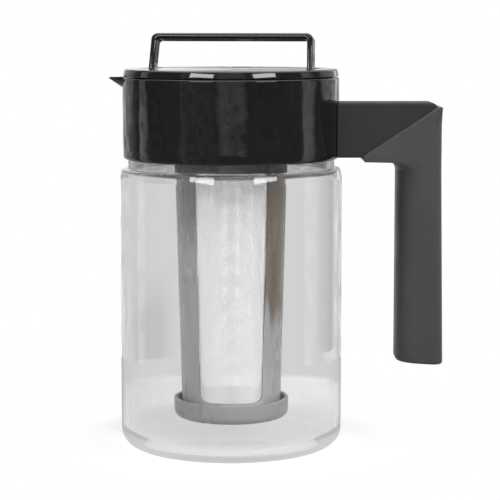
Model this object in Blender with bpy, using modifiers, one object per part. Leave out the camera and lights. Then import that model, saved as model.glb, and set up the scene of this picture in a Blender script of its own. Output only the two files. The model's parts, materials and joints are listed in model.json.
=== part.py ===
"""Cold brew pitcher: a clear jar with a black collar, an offset handle, a twist-off lid with a
folding bail, and a mesh infuser that screws in under the lid.

Metres, +Z up. The origin is the centre of the jar's base. The handle points to +X and the spout to -X.
"""

import math

import bmesh
import bpy
from mathutils import Matrix, Vector

# Clearances shared by all pieces
GAP = 0.0003
RUNNING_GAP = 0.0004
OVERRUN = 0.003
MERGE = 0.00001

# Jar
JAR_RADIUS = 0.0546
JAR_WALL = 0.0028
JAR_FLOOR = 0.0045
JAR_HEEL = 0.0090
JAR_SHOULDER_HEIGHT = 0.1380
JAR_SHOULDER_ROUND = 0.0020
NECK_STEP = 0.0038
NECK_WALL = 0.0030
NECK_RISE = 0.0238
NECK_RIM_ROUND = 0.0008

# Ring that locks the collar to the neck
LOCK_RING_DEPTH = 0.0008
LOCK_RING_HEIGHT = 0.0016
LOCK_RING_RISE = 0.0070
LOCK_RING_SPLIT = math.radians(14)

# Silicone ring between the neck and the collar
NECK_GASKET_HEIGHT = 0.0017
NECK_GASKET_INSET = 0.0002

# Collar
COLLAR_WALL = 0.0019
COLLAR_REVEAL = 0.0045
COLLAR_HEIGHT = 0.0399
COLLAR_TOP_ROUND = 0.0010
COLLAR_FOOT_ROUND = 0.0016
MOUTH_WALL = 0.0046
MOUTH_ROUND = 0.0005

# Spout
SPOUT_REACH = 0.0066
SPOUT_DEPTH = 0.0066
SPOUT_HALF_WIDTH = 0.0085
SPOUT_TIP_HALF_WIDTH = 0.0010
SPOUT_TIP_DEPTH = 0.0007
SPOUT_WALL = 0.0013

# Tongue that carries the handle, inside the arm
TONGUE_LENGTH = 0.0125
TONGUE_HALF_WIDTH = 0.0080
TONGUE_HEIGHT = 0.0170
TONGUE_RISE = 0.0044

# Handle frame
ARM_HALF_WIDTH = 0.0130
ARM_RISE = 0.0010
ARM_HEIGHT = 0.0266
ARM_EDGE_ROUND = 0.0012
HANDLE_REACH = 0.0473
HANDLE_CORNER = 0.0028
LEG_DEPTH = 0.0168
LEG_FOOT_HEIGHT = 0.0448
LEG_INNER_ROUND = 0.0040
LEG_ROUND_EASE = 0.0002

# Grip sleeve
SLEEVE_THICKNESS = 0.0020
SLEEVE_FLARE = 0.0015
SLEEVE_FOOT_THICKNESS = 0.0034
SLEEVE_FOOT_SLOPE = 0.0014
SLEEVE_EDGE_ROUND = 0.0050
SLEEVE_GRIP_ROUND = 0.0105
SLEEVE_SOFT_EDGE = 0.0010
SLEEVE_FOOT_ROUND = 0.0016
SLEEVE_FILLET = 0.0042
MITRE_LOW_REACH = 0.0114
MITRE_TOP_DROP = 0.0021

# Handle screws
SCREW_RADIUS = 0.0014
SCREW_HEAD_RADIUS = 0.0026
SCREW_HEAD_HEIGHT = 0.0017
SCREW_LENGTH = 0.0120
SCREW_SPACING = 0.0084
SCREW_REACH = 0.0060
SCREW_RECESS = 0.0004

# Lid
LID_REST_TURN = math.radians(-13.4)
LID_INSET = 0.0002
LID_SEAM = 0.0005
LID_RIM_HEIGHT = 0.0035
LID_PLATE = 0.0030
LID_TOP_ROUND = 0.0020
LID_FOOT_ROUND = 0.0008
SKIRT_WALL = 0.0032
SKIRT_RISE = 0.0004
SKIRT_LIP = 0.0009
SKIRT_SEAL_DEPTH = 0.0014
LID_SEAL_HEIGHT = 0.0027
RIM_GASKET_WIDTH = 0.0018
RIM_GASKET_HEIGHT = 0.0011
RIM_GASKET_RECESS = 0.0012

# Bayonet that holds the lid down
LUG_COUNT = 3
LUG_REACH = 0.0018
LUG_HEIGHT = 0.0030
LUG_RISE = 0.0017
LUG_HALF_ANGLE = math.radians(10)
LUG_SIDE_CLEARANCE = math.radians(2)

# Pouring port in the lid's skirt
PORT_TURN = math.radians(35)
PORT_HALF_ANGLE = math.radians(8.5)
PORT_SILL = 0.0010
PORT_TOP_DROP = 0.0006

# Bail and its pins
BAIL_LEAN = math.radians(14)
BAIL_THICKNESS = 0.0028
BAIL_DEPTH = 0.0080
BAIL_INSET = 0.0115
BAIL_SPLAY = 0.0008
BAIL_HEIGHT = 0.0194
BAIL_CORNER = 0.0032
BAIL_INNER_CORNER = 0.0012
BAIL_EDGE_ROUND = 0.0006
PIVOT_DROP = 0.0022
PIN_RADIUS = 0.0011
PIN_BITE = 0.0015
WASHER_THICKNESS = 0.0006
WASHER_RADIUS = 0.0026
BAIL_WELL_WALL = 0.0017
BAIL_WELL_CORNER = 0.0044
BAIL_WELL_OUTER_CORNER = 0.0060
SCOOP_RADIUS = 0.0140
SCOOP_DEPTH = 0.0016
SCOOP_OFFSET = 0.0039

# Insert inside the lid, with the socket that takes the infuser
INSERT_FLOOR = 0.0020
INSERT_RIM_WALL = 0.0018
INSERT_RIM_HEIGHT = 0.0111
INSERT_BEAD = 0.0005
INSERT_BEAD_RISE = 0.0062
INSERT_BEAD_HEIGHT = 0.0014
SOCKET_WALL = 0.0023
SOCKET_HANG = 0.0010
POUR_HOLE_COUNT = 5
POUR_HOLE_RADIUS = 0.0022
POUR_HOLE_STEP = math.radians(9)

# Screw thread between the socket and the infuser
THREAD_STARTS = 4
THREAD_LEAD = 0.0160
THREAD_RIDGE_ANGLE = math.radians(60)
THREAD_START_TURN = math.radians(3.75)
THREAD_RIDGE_HEIGHT = 0.0013
THREAD_RIDGE_DEPTH = 0.0013
THREAD_RISE = 0.0030

# Infuser
INFUSER_NECK_RADIUS = 0.0250
INFUSER_NECK_WALL = 0.0024
INFUSER_SHOULDER_STEP = 0.0027
INFUSER_SHOULDER_HEIGHT = 0.0062
INFUSER_SHOULDER_RISE = 0.0027
INFUSER_BODY_INSET = 0.0003
INFUSER_TAPER = 0.0031
INFUSER_WALL = 0.0020
INFUSER_FOOT_LAP = 0.0068
RIB_TOP_WIDTH = 0.0097
RIB_FOOT_WIDTH = 0.0096
WINDOW_TOP_MARGIN = 0.0005
WINDOW_TOP_ROUND = 0.0030
WINDOW_FOOT_ROUND = 0.0048
MESH_THICKNESS = 0.0006
MESH_FLOOR_RISE = 0.0036
MESH_FLOOR_LIP = 0.0018
MESH_FLOOR_LIP_HEIGHT = 0.0012
INFUSER_GASKET_HEIGHT = 0.0015
INFUSER_GASKET_WIDTH = 0.0034

# Ring at the infuser's foot
BASE_RING_REACH = 0.0040
BASE_RING_WALL = 0.0020
BASE_RING_HEIGHT = 0.0098
BASE_RING_BOTTOM = 0.0144
BASE_RING_ROUND = 0.0052
BASE_RING_LIP = 0.0016

# Counts for round and curved shapes
SEGMENTS = 48
SMALL_SEGMENTS = 16
LEG_SEGMENTS = 24
ARC_STEPS = 5
ARC_CHORD = 0.0018
EDGE_STEPS = 2

# Radii that follow from the sizes above
neck_radius = JAR_RADIUS - NECK_STEP
neck_bore = neck_radius - NECK_WALL
collar_bore = neck_radius + GAP
collar_radius = collar_bore + COLLAR_WALL
mouth_radius = collar_radius - MOUTH_WALL
lid_radius = collar_radius - LID_INSET
skirt_radius = mouth_radius - RUNNING_GAP
skirt_bore = skirt_radius - SKIRT_WALL
seal_groove_radius = skirt_radius - SKIRT_SEAL_DEPTH
lug_radius = skirt_radius + LUG_REACH
bayonet_radius = lug_radius + RUNNING_GAP
insert_radius = skirt_bore - GAP
thread_outer_radius = INFUSER_NECK_RADIUS + THREAD_RIDGE_DEPTH
socket_bore = thread_outer_radius + RUNNING_GAP
socket_radius = socket_bore + SOCKET_WALL
infuser_shoulder_radius = INFUSER_NECK_RADIUS + INFUSER_SHOULDER_STEP
infuser_top_radius = infuser_shoulder_radius - INFUSER_BODY_INSET
bail_half_span = lid_radius - BAIL_INSET

# Heights that follow from the sizes above
collar_bottom = JAR_SHOULDER_HEIGHT + COLLAR_REVEAL
collar_top = collar_bottom + COLLAR_HEIGHT
neck_top = JAR_SHOULDER_HEIGHT + NECK_RISE
ledge_height = neck_top + GAP + NECK_GASKET_HEIGHT + GAP
lock_ring_low = collar_bottom + LOCK_RING_RISE
lock_ring_high = lock_ring_low + LOCK_RING_HEIGHT
lid_bottom = collar_top + LID_SEAM
lid_top = lid_bottom + LID_RIM_HEIGHT
plate_underside = lid_top - LID_PLATE
skirt_bottom = ledge_height + SKIRT_RISE
seal_low = skirt_bottom + SKIRT_LIP + GAP
seal_high = seal_low + LID_SEAL_HEIGHT
lug_low = seal_high + GAP + LUG_RISE
lug_high = lug_low + LUG_HEIGHT
insert_floor_top = skirt_bottom + INSERT_FLOOR
insert_rim_top = skirt_bottom + INSERT_RIM_HEIGHT
bead_low = skirt_bottom + INSERT_BEAD_RISE
bead_high = bead_low + INSERT_BEAD_HEIGHT
infuser_shoulder_low = JAR_SHOULDER_HEIGHT - INFUSER_SHOULDER_RISE
infuser_shoulder_high = infuser_shoulder_low + INFUSER_SHOULDER_HEIGHT
infuser_gasket_high = skirt_bottom - GAP
infuser_gasket_low = infuser_gasket_high - INFUSER_GASKET_HEIGHT
infuser_neck_top = infuser_gasket_low - GAP
socket_bottom = infuser_shoulder_high + SOCKET_HANG
base_ring_top = BASE_RING_BOTTOM + BASE_RING_HEIGHT
infuser_foot = base_ring_top - INFUSER_FOOT_LAP
pivot_height = lid_top - PIVOT_DROP
spout_sill = collar_top - SPOUT_DEPTH + SPOUT_WALL

# Handle places that follow from the sizes above
arm_bottom = collar_bottom + ARM_RISE
arm_top = arm_bottom + ARM_HEIGHT
handle_end = collar_radius + HANDLE_REACH
leg_inner = handle_end - LEG_DEPTH
tongue_low = arm_bottom + TONGUE_RISE
tongue_end = collar_radius + TONGUE_LENGTH
sleeve_half_width = ARM_HALF_WIDTH + GAP + SLEEVE_THICKNESS
leg_round = SLEEVE_GRIP_ROUND - SLEEVE_THICKNESS - GAP

# Bail places in the lid's own frame, where the bail's bar lies along X
leg_face = bail_half_span - BAIL_THICKNESS
well_outer = bail_half_span + RUNNING_GAP
well_inner = leg_face - GAP - WASHER_THICKNESS - GAP
well_front = BAIL_DEPTH / 2 + RUNNING_GAP
well_back = BAIL_HEIGHT + RUNNING_GAP
well_bar_front = BAIL_HEIGHT - BAIL_THICKNESS - RUNNING_GAP
well_floor = pivot_height - BAIL_DEPTH / 2 - RUNNING_GAP


def clear_scene():
    for obj in list(bpy.data.objects):
        bpy.data.objects.remove(obj)


def new_collection(name):
    made = bpy.data.collections.new(name)
    bpy.context.scene.collection.children.link(made)
    return made


def new_material(name, colour, roughness, transmission=0.0):
    made = bpy.data.materials.new(name)
    made.use_nodes = True
    made.diffuse_color = (*colour, 1.0)
    shader = made.node_tree.nodes["Principled BSDF"]
    shader.inputs["Base Color"].default_value = (*colour, 1.0)
    shader.inputs["Roughness"].default_value = roughness
    shader.inputs["Metallic"].default_value = 0.0
    shader.inputs["Transmission Weight"].default_value = transmission
    return made


def new_metal(name, colour, roughness):
    made = new_material(name, colour, roughness)
    made.node_tree.nodes["Principled BSDF"].inputs["Metallic"].default_value = 1.0
    return made


clear_scene()
PARTS = new_collection("cold_brew_pitcher")
CUTTERS = new_collection("cutters")

CLEAR_PLASTIC = new_material("clear_jar_plastic", (0.93, 0.95, 0.96), 0.03, 1.0)
GLOSS_BLACK = new_material("gloss_black_plastic", (0.012, 0.012, 0.013), 0.08)
MATTE_BLACK = new_material("matte_black_plastic", (0.038, 0.038, 0.039), 0.50)
GREY_SILICONE = new_material("grey_silicone", (0.072, 0.072, 0.073), 0.62)
CLEAR_SILICONE = new_material("pale_silicone", (0.62, 0.62, 0.60), 0.45)
INFUSER_PLASTIC = new_material("infuser_plastic", (0.16, 0.155, 0.15), 0.30)
FILTER_MESH = new_material("filter_mesh", (0.72, 0.72, 0.72), 0.50)
PIN_STEEL = new_metal("pin_steel", (0.60, 0.60, 0.60), 0.30)


def add_part(name, mesh, material, parent=None):
    obj = bpy.data.objects.new(name, mesh)
    mesh.materials.clear()
    mesh.materials.append(material)
    PARTS.objects.link(obj)
    obj.parent = parent
    return obj


def add_cutter(name, mesh, parent=None):
    obj = bpy.data.objects.new(name, mesh)
    CUTTERS.objects.link(obj)
    obj.hide_render = True
    obj.display_type = "WIRE"
    obj.parent = parent
    return obj


def add_empty(name, location, turn, parent=None):
    empty = bpy.data.objects.new(name, None)
    PARTS.objects.link(empty)
    empty.location = location
    empty.rotation_euler = turn
    empty.parent = parent
    return empty


def combine(obj, operation, other):
    modifier = obj.modifiers.new(f"{operation.lower()} {other.name}", "BOOLEAN")
    modifier.operation = operation
    modifier.solver = "EXACT"
    modifier.object = other


def filleted(corners, closed):
    """Points of an outline given as corners (x, y, radius). A corner's radius is limited by its sides."""
    count = len(corners)
    points = []
    for index, (x, y, radius) in enumerate(corners):
        corner = Vector((x, y))
        is_end = not closed and index in (0, count - 1)
        if radius == 0 or is_end:
            points.append((x, y))
            continue
        before = Vector(corners[index - 1][:2]) - corner
        after = Vector(corners[(index + 1) % count][:2]) - corner
        half_angle = before.angle(after) / 2
        reach = min(radius / math.tan(half_angle), before.length / 2, after.length / 2)
        bisector = before.normalized() + after.normalized()
        centre = corner + bisector.normalized() * (reach / math.cos(half_angle))
        first = corner + before.normalized() * reach - centre
        last = corner + after.normalized() * reach - centre
        sweep = first.angle_signed(last)
        arc_length = abs(sweep) * first.length
        steps = min(ARC_STEPS, max(2, math.ceil(arc_length / ARC_CHORD)))
        for step in range(steps + 1):
            turned = Matrix.Rotation(-sweep * step / steps, 2) @ first
            points.append(tuple(centre + turned))
    return points


def profile_mesh(name, points, closed):
    mesh = bpy.data.meshes.new(name)
    edges = [(i, i + 1) for i in range(len(points) - 1)]
    if closed:
        edges.append((len(points) - 1, 0))
    mesh.from_pydata([(x, 0, z) for x, z in points], edges, [])
    return mesh


def turn(obj, segments=SEGMENTS):
    """Turns a profile at +X, which runs down its outer side, about Z."""
    screw = obj.modifiers.new("turned", "SCREW")
    screw.axis = "Z"
    screw.steps = segments
    screw.render_steps = segments
    screw.use_merge_vertices = True
    screw.merge_threshold = MERGE
    screw.use_smooth_shade = True


def turned_part(name, corners, closed, material, parent=None):
    obj = add_part(name, profile_mesh(name, filleted(corners, closed), closed), material, parent)
    turn(obj)
    return obj


def ring_corners(inner, outer, low, high, radius=0.0):
    return [(outer, high, radius), (outer, low, radius), (inner, low, radius), (inner, high, radius)]


def sector_mesh(name, inner, outer, low, high, start, end, rise=0.0):
    """A block bent round Z from one angle to another, climbing by rise on the way."""
    steps = max(2, math.ceil(abs(end - start) / math.tau * SEGMENTS))
    shape = bmesh.new()
    section = ((inner, low), (outer, low), (outer, high), (inner, high))
    spun = Matrix.Rotation(start, 3, "Z")
    face = shape.faces.new([shape.verts.new(spun @ Vector((x, 0, z))) for x, z in section])
    bmesh.ops.spin(
        shape, geom=[face], cent=(0, 0, 0), axis=(0, 0, 1),
        dvec=(0, 0, rise / steps), angle=end - start, steps=steps,
    )
    bmesh.ops.recalc_face_normals(shape, faces=shape.faces)
    mesh = bpy.data.meshes.new(name)
    shape.to_mesh(mesh)
    shape.free()
    return mesh


def box_mesh(name, low, high):
    shape = bmesh.new()
    bmesh.ops.create_cube(shape, size=1)
    low, high = Vector(low), Vector(high)
    for vertex in shape.verts:
        vertex.co = (low + high) / 2 + vertex.co * (high - low)
    mesh = bpy.data.meshes.new(name)
    shape.to_mesh(mesh)
    shape.free()
    return mesh


def rod_mesh(name, radius, start, end, segments=SMALL_SEGMENTS):
    """A round rod between two points."""
    start, end = Vector(start), Vector(end)
    along = end - start
    shape = bmesh.new()
    bmesh.ops.create_cone(
        shape, cap_ends=True, segments=segments, radius1=radius, radius2=radius, depth=along.length
    )
    facing = along.to_track_quat("Z", "Y").to_matrix().to_4x4()
    bmesh.ops.transform(shape, matrix=Matrix.Translation((start + end) / 2) @ facing, verts=shape.verts)
    mesh = bpy.data.meshes.new(name)
    shape.to_mesh(mesh)
    shape.free()
    mesh.shade_smooth()
    mesh.set_sharp_from_angle(angle=math.radians(40))
    return mesh


def plate_mesh(name, corners, half_thickness, standing):
    """A flat outline with thickness. A standing plate has its outline in XZ, a lying one in XY."""
    curve = bpy.data.curves.new(name, "CURVE")
    curve.dimensions = "2D"
    curve.fill_mode = "BOTH"
    curve.extrude = half_thickness
    points = filleted(corners, True)
    spline = curve.splines.new("POLY")
    spline.points.add(len(points) - 1)
    for point, (x, y) in zip(spline.points, points):
        point.co = (x, y, 0, 1)
    spline.use_cyclic_u = True
    drawn = bpy.data.objects.new(name, curve)
    bpy.context.scene.collection.objects.link(drawn)
    graph = bpy.context.evaluated_depsgraph_get()
    mesh = bpy.data.meshes.new_from_object(drawn.evaluated_get(graph))
    bpy.data.objects.remove(drawn)
    bpy.data.curves.remove(curve)
    shape = bmesh.new()
    shape.from_mesh(mesh)
    bmesh.ops.remove_doubles(shape, verts=shape.verts, dist=MERGE)
    bmesh.ops.dissolve_limit(shape, angle_limit=math.radians(1), verts=shape.verts, edges=shape.edges)
    if standing:
        bmesh.ops.rotate(shape, matrix=Matrix.Rotation(math.pi / 2, 3, "X"), verts=shape.verts)
    bmesh.ops.recalc_face_normals(shape, faces=shape.faces)
    shape.to_mesh(mesh)
    shape.free()
    mesh.name = name
    return mesh


def hull_mesh(name, points):
    shape = bmesh.new()
    for point in points:
        shape.verts.new(point)
    made = bmesh.ops.convex_hull(shape, input=shape.verts)
    bmesh.ops.delete(shape, geom=made["geom_interior"], context="VERTS")
    bmesh.ops.recalc_face_normals(shape, faces=shape.faces)
    mesh = bpy.data.meshes.new(name)
    shape.to_mesh(mesh)
    shape.free()
    return mesh


def loft_mesh(name, rings):
    """Skins a stack of rings that have the same number of points, from the lowest up, and caps both ends."""
    shape = bmesh.new()
    rows = [[shape.verts.new(point) for point in ring] for ring in rings]
    for lower, upper in zip(rows, rows[1:]):
        for index in range(len(lower)):
            around = (index + 1) % len(lower)
            shape.faces.new((lower[index], lower[around], upper[around], upper[index]))
    bmesh.ops.triangulate(shape, faces=shape.faces)
    shape.faces.new(reversed(rows[0]))
    shape.faces.new(rows[-1])
    mesh = bpy.data.meshes.new(name)
    shape.to_mesh(mesh)
    shape.free()
    mesh.shade_smooth()
    mesh.set_sharp_from_angle(angle=math.radians(35))
    return mesh


def round_edges(obj, width, limit_angle):
    bevel = obj.modifiers.new("rounded edges", "BEVEL")
    bevel.width = width
    bevel.segments = EDGE_STEPS
    bevel.limit_method = "ANGLE"
    bevel.angle_limit = limit_angle
    bevel.use_clamp_overlap = True


def add_jar():
    """The clear vessel: a flat base, a straight wall, a stepped shoulder and a plain neck."""
    bore = JAR_RADIUS - JAR_WALL
    inner_shoulder = JAR_SHOULDER_HEIGHT - JAR_WALL
    groove = neck_radius - LOCK_RING_DEPTH - GAP
    corners = [
        (0, JAR_FLOOR, 0),
        (bore, JAR_FLOOR, JAR_HEEL - JAR_WALL / 2),
        (bore, inner_shoulder, JAR_SHOULDER_ROUND),
        (neck_bore, inner_shoulder, JAR_SHOULDER_ROUND),
        (neck_bore, neck_top, NECK_RIM_ROUND),
        (neck_radius, neck_top, NECK_RIM_ROUND),
        (neck_radius, lock_ring_high + GAP, 0),
        (groove, lock_ring_high + GAP, 0),
        (groove, lock_ring_low - GAP, 0),
        (neck_radius, lock_ring_low - GAP, 0),
        (neck_radius, JAR_SHOULDER_HEIGHT, NECK_RIM_ROUND),
        (JAR_RADIUS, JAR_SHOULDER_HEIGHT, JAR_SHOULDER_ROUND),
        (JAR_RADIUS, 0, JAR_HEEL),
        (0, 0, 0),
    ]
    turned_part("jar", corners, False, CLEAR_PLASTIC)


def add_neck_seal():
    """The gasket on top of the neck, and the split ring that locks neck and collar together."""
    gasket = ring_corners(
        neck_bore + NECK_GASKET_INSET, neck_radius - NECK_GASKET_INSET,
        neck_top + GAP, neck_top + GAP + NECK_GASKET_HEIGHT,
    )
    turned_part("neck_gasket", gasket, True, CLEAR_SILICONE)
    ring = sector_mesh(
        "lock_ring", neck_radius - LOCK_RING_DEPTH, collar_bore + LOCK_RING_DEPTH,
        lock_ring_low, lock_ring_high, LOCK_RING_SPLIT, math.tau - LOCK_RING_SPLIT,
    )
    add_part("lock_ring", ring, MATTE_BLACK)


def spout_mesh(name, stations, top):
    """The hull of half ellipses that hang from one height, each given as (x, half width, depth)."""
    points = []
    for x, across, down in stations:
        for step in range(2 * ARC_STEPS + 1):
            angle = math.pi * step / (2 * ARC_STEPS)
            points.append((x, across * math.cos(angle), top - down * math.sin(angle)))
    return hull_mesh(name, points)


def add_collar():
    """The gloss ring on the neck, with the mouth, the bayonet groove, the spout and the handle's tongue."""
    groove = collar_bore + LOCK_RING_DEPTH + GAP
    corners = [
        (collar_radius, collar_top, COLLAR_TOP_ROUND),
        (collar_radius, collar_bottom, COLLAR_FOOT_ROUND),
        (collar_bore, collar_bottom, 0),
        (collar_bore, lock_ring_low - GAP, 0),
        (groove, lock_ring_low - GAP, 0),
        (groove, lock_ring_high + GAP, 0),
        (collar_bore, lock_ring_high + GAP, 0),
        (collar_bore, ledge_height, 0),
        (mouth_radius, ledge_height, MOUTH_ROUND),
        (mouth_radius, lug_low - RUNNING_GAP, 0),
        (bayonet_radius, lug_low - RUNNING_GAP, 0),
        (bayonet_radius, lug_high + RUNNING_GAP, 0),
        (mouth_radius, lug_high + RUNNING_GAP, 0),
        (mouth_radius, collar_top, MOUTH_ROUND),
    ]
    collar = turned_part("collar", corners, True, GLOSS_BLACK)

    beak_root = -(collar_radius - COLLAR_WALL)
    beak_tip = -(collar_radius + SPOUT_REACH)
    beak_stations = (
        (beak_root, SPOUT_HALF_WIDTH, SPOUT_DEPTH),
        (beak_tip, SPOUT_TIP_HALF_WIDTH, SPOUT_TIP_DEPTH),
    )
    beak = spout_mesh("spout_beak", beak_stations, collar_top - COLLAR_TOP_ROUND / 4)
    combine(collar, "UNION", add_cutter("spout_beak", beak))
    channel_half_width = SPOUT_HALF_WIDTH - SPOUT_WALL
    channel_depth = SPOUT_DEPTH - SPOUT_WALL + OVERRUN
    channel_stations = (
        (-(mouth_radius - OVERRUN), channel_half_width, channel_depth),
        (beak_root, channel_half_width, channel_depth),
        (beak_tip + SPOUT_WALL, SPOUT_TIP_HALF_WIDTH / 3, OVERRUN),
    )
    channel = spout_mesh("spout_channel", channel_stations, collar_top + OVERRUN)
    combine(collar, "DIFFERENCE", add_cutter("spout_channel", channel))

    tongue = box_mesh(
        "handle_tongue",
        (collar_radius - COLLAR_WALL / 2, -TONGUE_HALF_WIDTH, tongue_low),
        (tongue_end, TONGUE_HALF_WIDTH, tongue_low + TONGUE_HEIGHT),
    )
    combine(collar, "UNION", add_cutter("handle_tongue", tongue))

    half_slot = LUG_HALF_ANGLE + LUG_SIDE_CLEARANCE
    for index in range(LUG_COUNT):
        middle = LID_REST_TURN + math.tau * index / LUG_COUNT
        slot = sector_mesh(
            f"lug_slot_{index + 1}", mouth_radius - OVERRUN, bayonet_radius,
            lug_low - RUNNING_GAP / 2, collar_top + OVERRUN, middle - half_slot, middle + half_slot,
        )
        combine(collar, "DIFFERENCE", add_cutter(f"lug_slot_{index + 1}", slot))
    for side, name in ((-1, "front"), (1, "back")):
        hole = rod_mesh(
            f"tongue_hole_{name}", SCREW_RADIUS + GAP,
            (collar_radius + SCREW_REACH, side * SCREW_SPACING / 2, arm_bottom),
            (collar_radius + SCREW_REACH, side * SCREW_SPACING / 2, arm_bottom + SCREW_LENGTH + OVERRUN),
        )
        combine(collar, "DIFFERENCE", add_cutter(f"tongue_hole_{name}", hole))


def frame_corners(grown):
    """The outline of the handle frame in XZ: an arm with a leg that hangs inside the grip."""
    return [
        (collar_radius - COLLAR_WALL, arm_bottom - grown, 0),
        (leg_inner - grown, arm_bottom - grown, LEG_INNER_ROUND),
        (leg_inner - grown, LEG_FOOT_HEIGHT - grown, 0),
        (handle_end + grown, LEG_FOOT_HEIGHT - grown, 0),
        (handle_end + grown, arm_top + grown, HANDLE_CORNER + grown),
        (collar_radius - COLLAR_WALL, arm_top + grown, 0),
    ]


def round_leg(obj, label, grown):
    """Rounds the leg's upright edges on the finger side, up to the fillet under the arm.

    The rounding is a little eased, so that it meets the flat sides at a slight angle.
    """
    face, flank, reach = leg_inner - grown, ARM_HALF_WIDTH + grown, leg_round + grown
    low, high = LEG_FOOT_HEIGHT - OVERRUN, arm_bottom - LEG_INNER_ROUND - grown - GAP
    for side, name in ((-1, "front"), (1, "back")):
        near, far = sorted((side * (flank - reach), side * (flank + OVERRUN)))
        corner = add_cutter(
            f"{label}_corner_{name}",
            box_mesh(f"{label}_corner_{name}", (face - OVERRUN, near, low), (face + reach, far, high)),
        )
        place = (face + reach, side * (flank - reach))
        post = rod_mesh(
            f"{label}_post_{name}", reach + LEG_ROUND_EASE,
            (*place, low - OVERRUN), (*place, high + OVERRUN), LEG_SEGMENTS,
        )
        combine(corner, "DIFFERENCE", add_cutter(f"{label}_post_{name}", post))
        combine(obj, "DIFFERENCE", corner)


def add_handle_frame():
    """The matte arm and leg, one moulding, hollow at the root for the collar's tongue."""
    frame = add_part(
        "handle_frame", plate_mesh("handle_frame", frame_corners(0.0), ARM_HALF_WIDTH, True), MATTE_BLACK
    )
    round_edges(frame, ARM_EDGE_ROUND, math.radians(60))
    round_leg(frame, "leg", 0.0)
    saddle = add_cutter(
        "handle_saddle",
        profile_mesh(
            "handle_saddle",
            [(0, arm_top + OVERRUN), (collar_radius + GAP, arm_top + OVERRUN),
             (collar_radius + GAP, arm_bottom - OVERRUN), (0, arm_bottom - OVERRUN)],
            False,
        ),
    )
    turn(saddle)
    combine(frame, "DIFFERENCE", saddle)
    pocket = box_mesh(
        "tongue_pocket",
        (collar_radius - OVERRUN, -TONGUE_HALF_WIDTH - GAP, tongue_low - GAP),
        (tongue_end + GAP, TONGUE_HALF_WIDTH + GAP, tongue_low + TONGUE_HEIGHT + GAP),
    )
    combine(frame, "DIFFERENCE", add_cutter("tongue_pocket", pocket))
    for side, name in ((-1, "front"), (1, "back")):
        place = (collar_radius + SCREW_REACH, side * SCREW_SPACING / 2)
        head_low = arm_bottom + SCREW_RECESS
        head_high = head_low + SCREW_HEAD_HEIGHT
        counterbore = rod_mesh(
            f"counterbore_{name}", SCREW_HEAD_RADIUS + GAP,
            (*place, arm_bottom - OVERRUN), (*place, head_high + GAP),
        )
        combine(frame, "DIFFERENCE", add_cutter(f"counterbore_{name}", counterbore))
        hole = rod_mesh(
            f"frame_hole_{name}", SCREW_RADIUS + GAP, (*place, arm_bottom), (*place, tongue_low),
        )
        combine(frame, "DIFFERENCE", add_cutter(f"frame_hole_{name}", hole))

        screw = add_part(
            f"handle_screw_{name}",
            rod_mesh(f"handle_screw_{name}", SCREW_HEAD_RADIUS, (*place, head_low), (*place, head_high)),
            PIN_STEEL,
        )
        shank = rod_mesh(
            f"screw_shank_{name}", SCREW_RADIUS,
            (*place, (head_low + head_high) / 2), (*place, arm_bottom + SCREW_LENGTH),
        )
        combine(screw, "UNION", add_cutter(f"screw_shank_{name}", shank))


def grip_section(left, right, left_round, right_round):
    """A level slice of the sleeve in XY, with as many points whatever its width."""
    right_round = min(right_round, (right - left) / 3)
    left_round = min(left_round, (right - left) / 2)
    points = []
    for x, y, radius, quarter in (
        (right - right_round, -sleeve_half_width + right_round, right_round, 3),
        (right - right_round, sleeve_half_width - right_round, right_round, 0),
        (left + left_round, sleeve_half_width - left_round, left_round, 1),
        (left + left_round, -sleeve_half_width + left_round, left_round, 2),
    ):
        for step in range(ARC_STEPS + 1):
            angle = math.pi / 2 * (quarter + step / ARC_STEPS)
            points.append((x + radius * math.cos(angle), y + radius * math.sin(angle)))
    return points


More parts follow.
